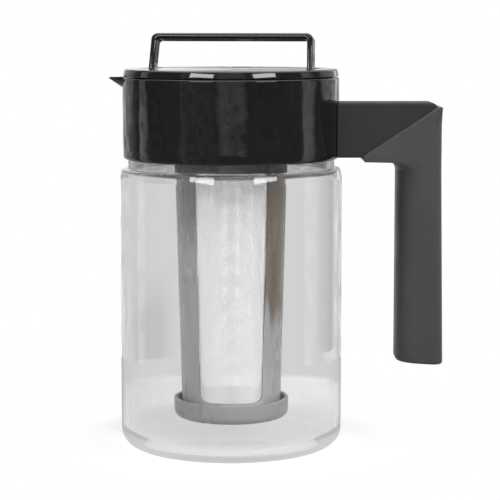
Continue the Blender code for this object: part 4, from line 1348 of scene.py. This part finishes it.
        return deliver(sleeve, Body.PITCHER, GRIP_GREY, "grip_sleeve")

    def build(self) -> list[bpy.types.Object]:
        """Builds both pieces."""
        return [self.build_frame(), self.build_sleeve()]


# The lid


@dataclass
class Lid:
    """The lid's cover, one moulding: a plate with a drafted rim, skirt, lugs, bail well and scoop."""

    fits: Fits
    radius: float = 0.0528
    rim_draft: float = 0.0007
    top_round: float = 0.0012
    foot_round: float = 0.0003
    plate: float = 0.0030
    skirt_radius: float = 0.0480
    skirt_bore: float = 0.0448
    skirt_bottom: float = 0.1645
    seal_radius: float = 0.0466
    seal_low: float = 0.1654
    seal_high: float = 0.1687
    bead_low: float = 0.1704
    bead_high: float = 0.1724
    bead: float = 0.0005
    lug_radius: float = 0.0498
    gasket_outer: float = 0.0511
    gasket_inner: float = 0.0487
    gasket_recess: float = 0.0012
    well_half: float = 0.0417
    well_inner_half: float = 0.0373
    well_front: float = 0.0044
    well_back: float = 0.0198
    well_bar_front: float = 0.0162
    well_floor: float = 0.1798
    well_wall: float = 0.0017
    well_corner: float = 0.0044
    block_corner: float = 0.0060
    port_turn: float = math.radians(35)
    port_half: float = math.radians(8.5)
    port_low: float = 0.1781
    port_high: float = 0.1818
    port_lap: float = 0.0010
    scoop_radius: float = 0.0140
    scoop_depth: float = 0.0016
    scoop_offset: float = 0.0039
    pin_radius: float = 0.00125
    pin_bite: float = 0.0015
    pin_start: float = 0.0045
    lug_lap: float = 0.0016
    block_lap: float = 0.0010
    soft: float = 0.00022

    def well_outline(self, grown: float, corner: float) -> np.ndarray:
        """Draws the U that the folded bail lies in.

        Args:
            grown: Wall that is added all round.
            corner: Radius of its two outer corners.

        Returns:
            The outline.
        """
        outer, inner = self.well_half + grown, self.well_inner_half - grown
        front, bar, back = -self.well_front - grown, self.well_bar_front - grown, self.well_back + grown
        return rounded_outline(
            [
                (-outer, front, 0), (-inner, front, 0), (-inner, bar, 0), (inner, bar, 0), (inner, front, 0),
                (outer, front, 0), (outer, back, corner), (-outer, back, corner),
            ]
        )

    def build(self) -> bpy.types.Object:
        """Turns the cover's profile, joins the lugs and the well's block, and cuts the openings.

        Returns:
            The cover.
        """
        fits = self.fits
        top, low, under = fits.lid_top, fits.lid_bottom, fits.lid_top - self.plate
        recess, bead = low + self.gasket_recess, self.skirt_bore + self.bead
        corners = [
            (0, top, 0), (self.radius - self.rim_draft, top, self.top_round),
            (self.radius, low, self.foot_round), (self.gasket_outer, low, 0), (self.gasket_outer, recess, 0),
            (self.gasket_inner, recess, 0), (self.gasket_inner, low, 0), (self.skirt_radius, low, 0),
            (self.skirt_radius, self.seal_high, 0), (self.seal_radius, self.seal_high, 0),
            (self.seal_radius, self.seal_low, 0), (self.skirt_radius, self.seal_low, 0),
            (self.skirt_radius, self.skirt_bottom, 0), (self.skirt_bore, self.skirt_bottom, 0),
            (self.skirt_bore, self.bead_low, 0), (bead, self.bead_low, 0), (bead, self.bead_high, 0),
            (self.skirt_bore, self.bead_high, 0), (self.skirt_bore, under, 0), (0, under, 0),
        ]
        cover = new_object(turned_mesh("lid_top", rounded_outline(corners, False), False, segments=240))

        def sector(name: str, radii: Pair, heights: Pair, at: float, half: float) -> bpy.types.Mesh:
            """Makes a block between two radii and two heights.

            Args:
                name: Name of the mesh.
                radii: Its inner and outer radius.
                heights: Its low and high face.
                at: Its middle angle.
                half: How far it reaches to each side.

            Returns:
                The new mesh.
            """
            (inner, outer), (bottom, high) = radii, heights
            section = [(inner, bottom), (outer, bottom), (outer, high), (inner, high)]
            return sector_mesh(name, section, at - half, at + half)

        block = self.well_outline(self.well_wall, self.block_corner)
        added = [lying_slab("block", block, self.well_floor - self.well_wall, under + self.block_lap)]
        for index in range(3):
            radii = self.skirt_radius - self.lug_lap, self.lug_radius
            at = math.tau * index / 3
            added.append(sector("lug", radii, (fits.lug_low, fits.lug_high), at, fits.lug_half))
        joined(cover, Join.ADD, added)
        radii = self.skirt_bore - OVERRUN, self.skirt_radius + self.port_lap
        at = math.pi + self.port_turn - fits.lid_turn
        removed = [
            lying_slab("well", self.well_outline(0.0, self.well_corner), self.well_floor, top + OVERRUN),
            sector("port", radii, (self.port_low, self.port_high), at, self.port_half),
        ]
        sweep = np.linspace(-math.pi / 2, math.pi / 2, 49)
        half_circle = self.scoop_radius * np.column_stack([np.cos(sweep), np.sin(sweep)])
        ball = turned_mesh("scoop", half_circle, False, segments=96)
        scoop = (0, self.well_back + self.scoop_offset, top + self.scoop_radius - self.scoop_depth)
        ball.transform(Matrix.Translation(scoop))
        removed.append(ball)
        start, end = self.well_inner_half - self.pin_start, self.well_half + self.pin_bite + fits.gap
        for side in (-1, 1):
            ends = (side * start, 0, fits.pivot), (side * end, 0, fits.pivot)
            removed.append(rod_mesh("pin_hole", self.pin_radius, *ends, segments=24))
        joined(cover, Join.CUT, removed)
        turned_by(cover.data, fits.lid_turn)
        return deliver(softened(cover, self.soft), Body.LID, GLOSS_BLACK, "lid_cover")


@dataclass
class Bail:
    """The folding carry handle: a bent flat band whose round feet turn on the pins."""

    fits: Fits
    half_span: float = 0.0413
    splay: float = 0.0008
    height: float = 0.0194
    thickness: float = 0.0028
    depth: float = 0.0080
    corner: float = 0.0032
    inner_corner: float = 0.0014
    edge: float = 0.0012
    foot_from: float = 0.0018
    lean: float = math.radians(14)
    eye: float = 0.0014
    eye_lap: float = 0.0020

    def build(self) -> bpy.types.Object:
        """Makes the band as a slab in XZ. Each foot is round: z follows -sqrt(half depth^2 - y^2) there.

        Returns:
            The bail.
        """
        foot, top = self.half_span, self.half_span - self.splay
        foot_inside, top_inside = foot - self.thickness, top - self.thickness
        under = self.height - self.thickness
        corners = [
            (-foot, 0, 0), (-foot_inside, 0, 0), (-top_inside, under, self.inner_corner),
            (top_inside, under, self.inner_corner), (foot_inside, 0, 0), (foot, 0, 0),
            (top, self.height, self.corner), (-top, self.height, self.corner),
        ]
        points = slab_points(rounded_outline(corners), self.depth / 2, self.edge, steps=7)
        end = -np.sqrt(np.clip((self.depth / 2) ** 2 - points[..., 1] ** 2, 0, None))
        points[..., 2] = np.where(points[..., 2] < self.foot_from, end, points[..., 2])
        bail = new_object(grid_mesh("bail_band", points))
        ends = foot - 2 * OVERRUN, foot + self.eye_lap
        eyes = [
            rod_mesh("eye", self.eye, *((side * end, 0, 0) for end in ends), segments=24) for side in (-1, 1)
        ]
        joined(bail, Join.CUT, eyes)
        turned_by(bail.data, -self.lean, 1, 2, self.fits.pivot)
        turned_by(bail.data, self.fits.lid_turn)
        return deliver(bail, Body.BAIL, GLOSS_BLACK, "bail")


# The infuser


@dataclass
class Infuser:
    """The infuser's frame, its woven windows and floor, and the cup ring at its foot."""

    fits: Fits
    neck_radius: float = 0.0250
    neck_bore: float = 0.0226
    neck_top: float = 0.1624
    shoulder_radius: float = 0.0277
    shoulder_low: float = 0.1353
    shoulder_high: float = 0.1415
    body_radius: float = 0.0274
    taper: float = 0.0031
    wall: float = 0.0020
    foot: float = 0.0174
    ring_bottom: float = 0.0144
    ring_top: float = 0.0242
    ring_reach: float = 0.0040
    ring_wall: float = 0.0020
    ring_round: float = 0.0052
    ring_lip: float = 0.0016
    ring_rim_round: float = 0.0007
    ring_inner_round: float = 0.0010
    rib_top: float = 0.0097
    rib_foot: float = 0.0096
    window_margin: float = 0.0005
    window_top_round: float = 0.0030
    window_foot_round: float = 0.0048
    window_cut: float = 0.0400
    mesh_thickness: float = 0.0006
    mesh_round: float = 0.0002
    window_pitch: float = 0.00055
    window_thread: float = 0.22
    floor_pitch: float = 0.00085
    floor_thread: float = 0.55
    floor_rise: float = 0.0036
    floor_lip: float = 0.0018
    floor_lip_height: float = 0.0012
    ridge_height: float = 0.0013
    ridge_depth: float = 0.0013
    ridge_low: float = 0.1471
    ridge_rise: float = 0.016 / 6
    ridge_turn: float = math.radians(3.75)
    ridge_root: float = 0.0008
    ridge_draft: float = 0.0002
    rim_round: float = 0.0005
    shoulder_round: float = 0.0008
    edge_round: float = 0.0004
    fine_round: float = 0.0003
    inner_round: float = 0.0020
    soft: float = 0.00030

    def cone(self, height: float | np.ndarray) -> float | np.ndarray:
        """Outer radius of the tapered body: it falls evenly from the shoulder to the foot ring."""
        share = (self.shoulder_low - height) / (self.shoulder_low - self.ring_bottom)
        return self.body_radius - self.taper * share

    def window(self, inset: float) -> tuple[float, float, float, float]:
        """Works out where a window stands.

        Args:
            inset: How far it is drawn in.

        Returns:
            Its low and high edge, and its half width at each.
        """
        low, high = self.ring_top + inset, self.shoulder_low - self.window_margin - inset
        foot, top = self.cone(self.ring_top) - self.rib_foot, self.body_radius - self.rib_top
        return low, high, foot - inset, top - inset

    def build_frame(self, material: bpy.types.Material) -> bpy.types.Object:
        """Turns the frame's profile and cuts the two facing windows.

        Args:
            material: The smoke plastic.

        Returns:
            The frame.
        """
        base = self.cone(self.foot)
        bore, floor = base - self.wall, self.foot + self.floor_rise
        lip, lip_top = bore - self.floor_lip, floor + self.floor_lip_height
        corners = [
            (self.neck_radius, self.neck_top, self.rim_round),
            (self.neck_radius, self.shoulder_high, self.edge_round),
            (self.shoulder_radius, self.shoulder_high, self.shoulder_round),
            (self.shoulder_radius, self.shoulder_low, self.fine_round),
            (self.body_radius, self.shoulder_low, 0), (base, self.foot, self.edge_round),
            (bore, self.foot, self.edge_round), (bore, floor, 0), (lip, floor, self.fine_round),
            (lip, lip_top, self.fine_round), (bore, lip_top, 0),
            (self.body_radius - self.wall, self.shoulder_low, self.inner_round),
            (self.neck_bore, self.shoulder_high, self.inner_round),
            (self.neck_bore, self.neck_top, self.rim_round),
        ]
        frame = new_object(turned_mesh("infuser_ribs", rounded_outline(corners, steps=5), True))
        low, high, foot, top = self.window(0.0)
        outline = rounded_outline(
            [
                (-foot, low, self.window_foot_round), (foot, low, self.window_foot_round),
                (top, high, self.window_top_round), (-top, high, self.window_top_round),
            ]
        )
        joined(frame, Join.CUT, [grid_mesh("window", slab_points(outline, self.window_cut, steps=1))])
        return deliver(softened(frame, self.soft, limit=60), Body.INFUSER, SMOKE, "infuser_frame", material)

    def build_ridges(self, material: bpy.types.Material) -> bpy.types.Object:
        """Carries the thread's four ridges round the neck, each climbing a sixth of the 16 mm lead.

        Args:
            material: The smoke plastic.

        Returns:
            The ridges.
        """
        outer, root = self.neck_radius + self.ridge_depth, self.neck_radius - self.ridge_root
        low, high, draft = self.ridge_low, self.ridge_low + self.ridge_height, self.ridge_draft
        section = [(root, low), (outer, low + draft), (outer, high - draft), (root, high)]
        whole = bmesh.new()
        for index in range(4):
            start = self.fits.lid_turn + self.ridge_turn + math.tau * index / 4
            whole.from_mesh(sector_mesh("ridge", section, start, start + math.pi / 3, self.ridge_rise))
        mesh = bpy.data.meshes.new("infuser_thread")
        whole.to_mesh(mesh)
        whole.free()
        return deliver(settle(new_object(mesh)), Body.INFUSER, SMOKE, "infuser_frame", material)

    def build_panels(self) -> list[bpy.types.Object]:
        """Bends the woven windows: at each height they reach to the angle asin(half width / radius).

        Near the top and foot the half width follows the corner's circle,
        w = full - r + sqrt(r^2 - (r - d)^2) at a distance d from the edge.

        Returns:
            The two windows.
        """
        low, high, foot, top = self.window(self.fits.gap)
        rounds = self.window_foot_round - self.fits.gap, self.window_top_round - self.fits.gap
        ease = 1 - np.cos(np.linspace(0, math.pi / 2, 10))
        straight = np.linspace(low + rounds[0], high - rounds[1], 60)
        heights = np.unique(np.concatenate([low + rounds[0] * ease, straight, high - rounds[1] * ease]))
        full = foot + (top - foot) * (heights - low) / (high - low)
        half = full.copy()
        for edge, radius in ((heights - low, rounds[0]), (high - heights, rounds[1])):
            distance = np.clip(edge, 0, radius)
            half = np.minimum(half, full - radius + np.sqrt(radius**2 - (radius - distance) ** 2))
        threads = self.window_pitch, self.window_thread, self.body_radius
        weave = WovenMesh("window_weave", Slot.MESH, (0.97,) * 3, *threads, flat=False)
        material = weave.material()
        middle = self.cone(heights) - self.wall / 2
        made = []
        for side, name in ((-1, "front"), (1, "back")):
            reach = np.arcsin(half / middle)[:, None] * np.linspace(-1, 1, 41)[None]
            sheets = []
            for depth in (self.mesh_thickness / 2, -self.mesh_thickness / 2):
                radius = (middle + depth)[:, None]
                level = heights[:, None] + 0 * reach
                sheets.append(np.stack([radius * np.sin(reach), side * radius * np.cos(reach), level], -1))
            points = np.concatenate([sheets[0], sheets[1][:, ::-1]], 1)
            panel = settle(new_object(grid_mesh(f"window_{name}", points)))
            made.append(deliver(panel, Body.INFUSER, weave, f"mesh_{name}", material))
        return made

    def build_floor(self) -> bpy.types.Object:
        """Turns the woven floor, a thin disc that sits on the frame's lip.

        Returns:
            The floor.
        """
        threads = self.floor_pitch, self.floor_thread, self.body_radius
        # Painted shade: the floor's cloth is dark for the shade it lies in, inside the cup ring.
        weave = WovenMesh("floor_weave", Slot.MESH, (0.20,) * 3, *threads, flat=True)
        low = self.foot + self.floor_rise + self.floor_lip_height + self.fits.gap
        radius, high = self.cone(self.foot) - self.wall - self.fits.gap, low + self.mesh_thickness
        corners = [(0, high, 0), (radius, high, self.mesh_round), (radius, low, self.mesh_round), (0, low, 0)]
        profile = rounded_outline(corners, False, steps=3)
        floor = settle(new_object(turned_mesh("infuser_floor", profile, False, segments=96)))
        return deliver(floor, Body.INFUSER, weave, "mesh_floor")

    def build_ring(self) -> bpy.types.Object:
        """Turns the cup ring that holds the frame's foot.

        Returns:
            The ring.
        """
        base, seat = self.cone(self.foot), self.foot - self.fits.gap
        outer, lip = base + self.ring_reach, base - self.wall - self.ring_lip
        bore = outer - self.ring_wall
        corners = [
            (outer, self.ring_top, self.ring_rim_round), (outer, self.ring_bottom, self.ring_round),
            (lip, self.ring_bottom, self.rim_round), (lip, seat, self.edge_round),
            (base + self.fits.gap, seat, self.fine_round),
            (bore, seat + self.ring_wall, self.ring_inner_round), (bore, self.ring_top, self.ring_rim_round),
        ]
        ring = settle(new_object(turned_mesh("infuser_cup", rounded_outline(corners), True)))
        return deliver(ring, Body.INFUSER, RING_SMOKE, "infuser_base_ring")

    def build(self) -> list[bpy.types.Object]:
        """Builds all the infuser's pieces.

        Returns:
            The pieces.
        """
        material = SMOKE.material()
        made = [self.build_frame(material), self.build_ridges(material), self.build_ring()]
        return made + self.build_panels() + [self.build_floor()]


@dataclass
class CarriedOver:
    """CAD nodes whose shape stays, each with the finish that it gets."""

    nodes: dict[str, bpy.types.Object]

    def dress(self) -> None:
        """Puts a procedural material on each node that keeps its CAD shape."""
        choice = {
            PALE_SEAL: (
                "neck_gasket", "lid_seal", "rim_gasket", "infuser_gasket", "bail_washer_left",
                "bail_washer_right",
            ),
            PIN_STEEL: ("handle_screw_front", "handle_screw_back", "bail_pin_left", "bail_pin_right"),
            GLOSS_BLACK: ("lid_insert",),
            MATTE_BLACK: ("lock_ring",),
        }
        for finish, names in choice.items():
            material = finish.material()
            for name in names:
                self.nodes[name].material_slots[0].material = material
                LOG.info("%s: kept, dressed in %s", name, finish.name)


# The studio


@dataclass
class Softbox:
    """A rectangular lamp round the pitcher, turned to it. Some are only mirrored, some only shade."""

    name: str
    azimuth: float
    elevation: float
    size: Pair
    power: float
    mirrored: bool = True
    shades: bool = True
    distance: float = 1.6
    height: float = 0.15
    spread: float = math.pi

    def build(self) -> bpy.types.Object:
        """Makes the lamp. Azimuth is 0 towards the camera and grows towards the handle.

        Returns:
            The lamp.
        """
        data = bpy.data.lights.new(self.name, "AREA")
        data.shape, data.size, data.size_y, data.energy = "RECTANGLE", *self.size, self.power
        data.spread = self.spread
        lamp = bpy.data.objects.new(self.name, data)
        bpy.context.scene.collection.objects.link(lamp)
        turn, rise = math.radians(self.azimuth), math.radians(self.elevation)
        flat, up = math.cos(rise) * self.distance, math.sin(rise) * self.distance
        lamp.location = (flat * math.sin(turn), -flat * math.cos(turn), self.height + up)
        aim = Vector((0, 0, self.height)) - lamp.location
        lamp.rotation_euler = aim.to_track_quat("-Z", "Y").to_euler()
        lamp.visible_glossy = self.mirrored
        lamp.visible_diffuse = self.shades
        return lamp


# Brightness of the room's walls and lit panels by azimuth, in degrees.
ROOM_WALLS = (
    (-180, 0.60), (-177, 0.80), (-174, 1.10), (-164, 0.90), (-158, 0.60), (-130, 0.55), (-125, 0.24),
    (-114, 0.12), (-111, 1.0), (-102, 0.9), (-99, 0.18), (-56, 0.18), (-53, 0.55), (-49, 0.30),
    (-16, 0.20), (-10, 0.14), (17, 0.12), (80, 0.10), (83, 1.2), (90, 1.0), (96, 0.6), (101, 0.10),
    (108, 0.10), (114, 0.65), (144, 0.75), (148, 0.35), (152, 0.35), (155, 0.7), (166, 0.6), (180, 0.60),
)


@dataclass
class Studio:
    """A pale floor, a white room that black gloss sees as a dim one with lit panels, and the camera."""

    ambient: float = 0.36
    ceiling: float = 2.4
    backdrop: float = 0.78
    card: float = 0.18
    strip: float = 1.4
    front: float = 0.46
    floor_radius: float = 0.26
    floor_heights: Pair = (-0.0002, -0.01)
    floor_colour: float = 0.82
    floor_glow: float = 0.32
    floor_glow_through: float = 0.40
    speckle: float = 0.05
    pale_to: Pair = (0.056, 0.092)
    pale_to_through: Pair = (0.185, 0.20)
    front_edges: tuple[Pair, ...] = ((-0.28, -0.21), (0.30, 0.21), (-0.080, -0.068))
    ceiling_edge: tuple[Pair, ...] = ((0.60, 0.80),)
    strip_edges: tuple[Pair, ...] = ((2.53, 2.55), (2.70, 2.68), (-0.046, -0.038))
    card_edges: tuple[Pair, ...] = ((-0.23, -0.14), (-0.052, -0.080), (-0.105, -0.138))
    blotches: Pair = (5.0, 60.0)
    blotch_levels: Pair = (2.4, -0.2)
    sensor: float = 36.0
    nearest: float = 0.01
    focal: float = 137.0
    pitch: float = math.radians(6.804)
    yaw: float = math.radians(0.573)
    camera_place: Corner = (0.0, -0.9354, 0.2086)

    def build_camera(self) -> None:
        """Puts the camera where the photograph was taken from."""
        data = bpy.data.cameras.new("photo_camera")
        data.lens, data.sensor_width, data.clip_start = self.focal, self.sensor, self.nearest
        camera = bpy.data.objects.new("photo_camera", data)
        bpy.context.scene.collection.objects.link(camera)
        camera.location = self.camera_place
        camera.rotation_euler = (math.pi / 2 - self.pitch, 0, -self.yaw)
        bpy.context.scene.camera = camera

    def build_floor(self) -> None:
        """Lays the floor, a disc a hair under the pitcher.

        Its paint is pale round the pitcher, where it takes the shadow, and fades outwards into the
        room: white for the camera, the backdrop's grey through the jar, the soft light otherwise.
        """
        top, low = self.floor_heights
        profile = np.array([(0.0, top), (self.floor_radius, top), (self.floor_radius, low), (0.0, low)])
        floor = new_object(turned_mesh("studio_floor", profile, False, segments=96))
        paint = Paint("floor_matte")
        x, y, _ = paint.axes()
        squares = paint.math("MULTIPLY", x, x), paint.math("MULTIPLY", y, y)
        radius = paint.math("SQRT", paint.math("ADD", *squares))
        rays = paint.rays()
        direct = paint.math("LESS_THAN", rays["Diffuse Depth"], 0.5)
        through = paint.math("MULTIPLY", rays["Is Transmission Ray"], direct)
        camera = rays["Is Camera Ray"]

        def pick(share: Socket, one: object, other: object) -> Socket:
            """Picks one of two values.

            Args:
                share: 1 or 0.
                one: The value at 1.
                other: The value at 0.

            Returns:
                The value.
            """
            made = paint.node("ShaderNodeMix")
            for index, value in ((0, share), (2, other), (3, one)):
                paint.feed(made.inputs[index], value)
            return made.outputs[0]

        pale = pick(
            through,
            paint.between(radius, 1.0, 0.0, *self.pale_to_through),
            paint.between(radius, 1.0, 0.0, *self.pale_to),
        )
        speckle = paint.between(paint.noise(self.speckle, 3.0), 0.99 * self.floor_colour, self.floor_colour)
        colour = paint.node("ShaderNodeCombineColor")
        for socket in colour.inputs[:3]:
            paint.feed(socket, paint.math("MULTIPLY", pale, speckle))
        # Through the jar the floor glows more near the pitcher: painted light where the jar's shadow falls.
        near = pick(through, self.floor_glow_through, pick(camera, self.floor_glow, 0.0))
        far = pick(through, self.backdrop, pick(camera, 1.0, self.ambient))
        paint.set(Base_Color=colour.outputs[0], Roughness=1.0, Specular_IOR_Level=0.0)
        paint.set(Emission_Color=(1, 1, 1, 1), Emission_Strength=pick(pale, near, far))
        floor.data.materials.append(paint.material)

    def build_world(self) -> None:
        """Makes the room: white for the camera, a grey backdrop through glass, and panels for mirrors.

        Soft noise over azimuth and height breaks the panels up, and a bright ceiling starts 37 degrees up.
        A grey card stands low behind the jar's left side, for rays that come through the jar. A lit strip
        stands behind the handle from just below the horizon up, and a dim panel that only the collar
        mirrors stands in front.

        The azimuth is atan2(x, -y) of the direction, so 0 is towards the camera and a quarter turn is
        towards the handle. A ramp gives the brightness of the room's walls and lit panels round it.
        """
        world = bpy.data.worlds.new("studio_room")
        bpy.context.scene.world = world
        world.use_nodes = True
        room = Tree(world.node_tree)

        def panel(level: float, sources: tuple[Socket, ...], edges: tuple[Pair, ...]) -> Socket:
            """Lights a part of the room up to soft edges.

            Args:
                level: Brightness inside.
                sources: What each edge is measured along.
                edges: Where each edge is at 0, and where at 1.

            Returns:
                The brightness.
            """
            inside = level
            for source, (start, end) in zip(sources, edges):
                inside = room.math("MULTIPLY", room.between(source, 0.0, 1.0, start, end), inside)
            return inside

        split = room.node("ShaderNodeSeparateXYZ")
        room.feed(split.inputs[0], room.node("ShaderNodeTexCoord").outputs["Generated"])
        across, along, height = split.outputs
        turn = room.math("ARCTAN2", across, room.math("MULTIPLY", along, -1.0))
        ramp = room.node("ShaderNodeValToRGB")
        room.feed(ramp.inputs[0], room.math("MULTIPLY_ADD", turn, 1 / math.tau, 0.5))
        elements = ramp.color_ramp.elements
        while len(elements) < len(ROOM_WALLS):
            elements.new(0.5)
        for element, (angle, level) in zip(elements, ROOM_WALLS):
            element.position = angle / 360 + 0.5
            element.color = (level / 2, level / 2, level / 2, 1)
        place = room.node("ShaderNodeCombineXYZ")
        for socket, value, count in zip(place.inputs, (turn, height), self.blotches):
            room.feed(socket, room.math("MULTIPLY", value, count))
        blotches = room.node("ShaderNodeTexNoise", noise_dimensions="2D")
        room.feed(blotches.inputs["Vector"], place.outputs[0])
        room.feed(blotches.inputs["Scale"], 1.0)
        uneven = room.math("MULTIPLY_ADD", blotches.outputs["Fac"], *self.blotch_levels)
        front = panel(self.front, (turn, turn, height), self.front_edges)
        mirrored = room.math("MULTIPLY", room.math("MULTIPLY_ADD", ramp.outputs[0], 2.0, front), uneven)
        mirrored = room.math("ADD", mirrored, panel(self.ceiling, (height,), self.ceiling_edge))
        mirrored = room.math("ADD", mirrored, panel(self.strip, (turn, turn, height), self.strip_edges))
        rays = room.rays()
        camera, glossy, through = (rays[f"Is {kind} Ray"] for kind in ("Camera", "Glossy", "Transmission"))
        direct = room.math("LESS_THAN", rays["Diffuse Depth"], 0.5)
        sharp = room.math("MAXIMUM", camera, room.math("MAXIMUM", glossy, through))
        seen = room.math("MULTIPLY", sharp, direct)
        mirror_only = room.math("MULTIPLY", glossy, room.math("SUBTRACT", 1.0, through))
        card = panel(1.0, (across, across, height), self.card_edges)
        behind = room.math("MULTIPLY_ADD", card, -self.card * self.backdrop, self.backdrop)
        target = room.math("MULTIPLY_ADD", mirror_only, mirrored, camera)
        target = room.math("MULTIPLY_ADD", through, behind, target)
        rest = room.math("MULTIPLY", room.math("SUBTRACT", 1.0, seen), self.ambient)
        shown = world.node_tree.nodes["Background"].inputs
        room.feed(shown["Strength"], room.math("MULTIPLY_ADD", seen, target, rest))
        room.feed(shown["Color"], (1, 1, 1, 1))

    def build(self) -> None:
        """Builds the studio."""
        bpy.context.scene.view_settings.view_transform = "Standard"
        self.build_camera()
        self.build_floor()
        self.build_world()
        for softbox in (
            Softbox("softbox_left", -30.5, 20, (0.70, 0.22), 5.5, shades=False),
            Softbox("softbox_right", 36, 20, (0.66, 0.22), 5.2),
            Softbox("key_light", 34, 31, (0.8, 0.8), 14.8, mirrored=False),
            Softbox("top_light", 0, 80, (0.9, 0.9), 4.0, mirrored=False),
            Softbox("snoot_light", -60, 12, (0.045, 0.11), 0.0072, False, True, 0.8, 0.080, math.radians(4)),
        ):
            softbox.build()


def main() -> None:
    """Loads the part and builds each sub-assembly round it."""
    logging.basicConfig(level=logging.INFO, format="%(name)s: %(message)s")
    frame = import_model()
    fits = Fits()
    Studio().build()
    for assembly in (Jar(fits), Collar(fits), Handle(fits), Lid(fits), Bail(fits), Infuser(fits)):
        LOG.info("building %s", type(assembly).__name__)
        assembly.build()
    CarriedOver(frame["nodes"]).dress()


if __name__ == "__main__":
    main()
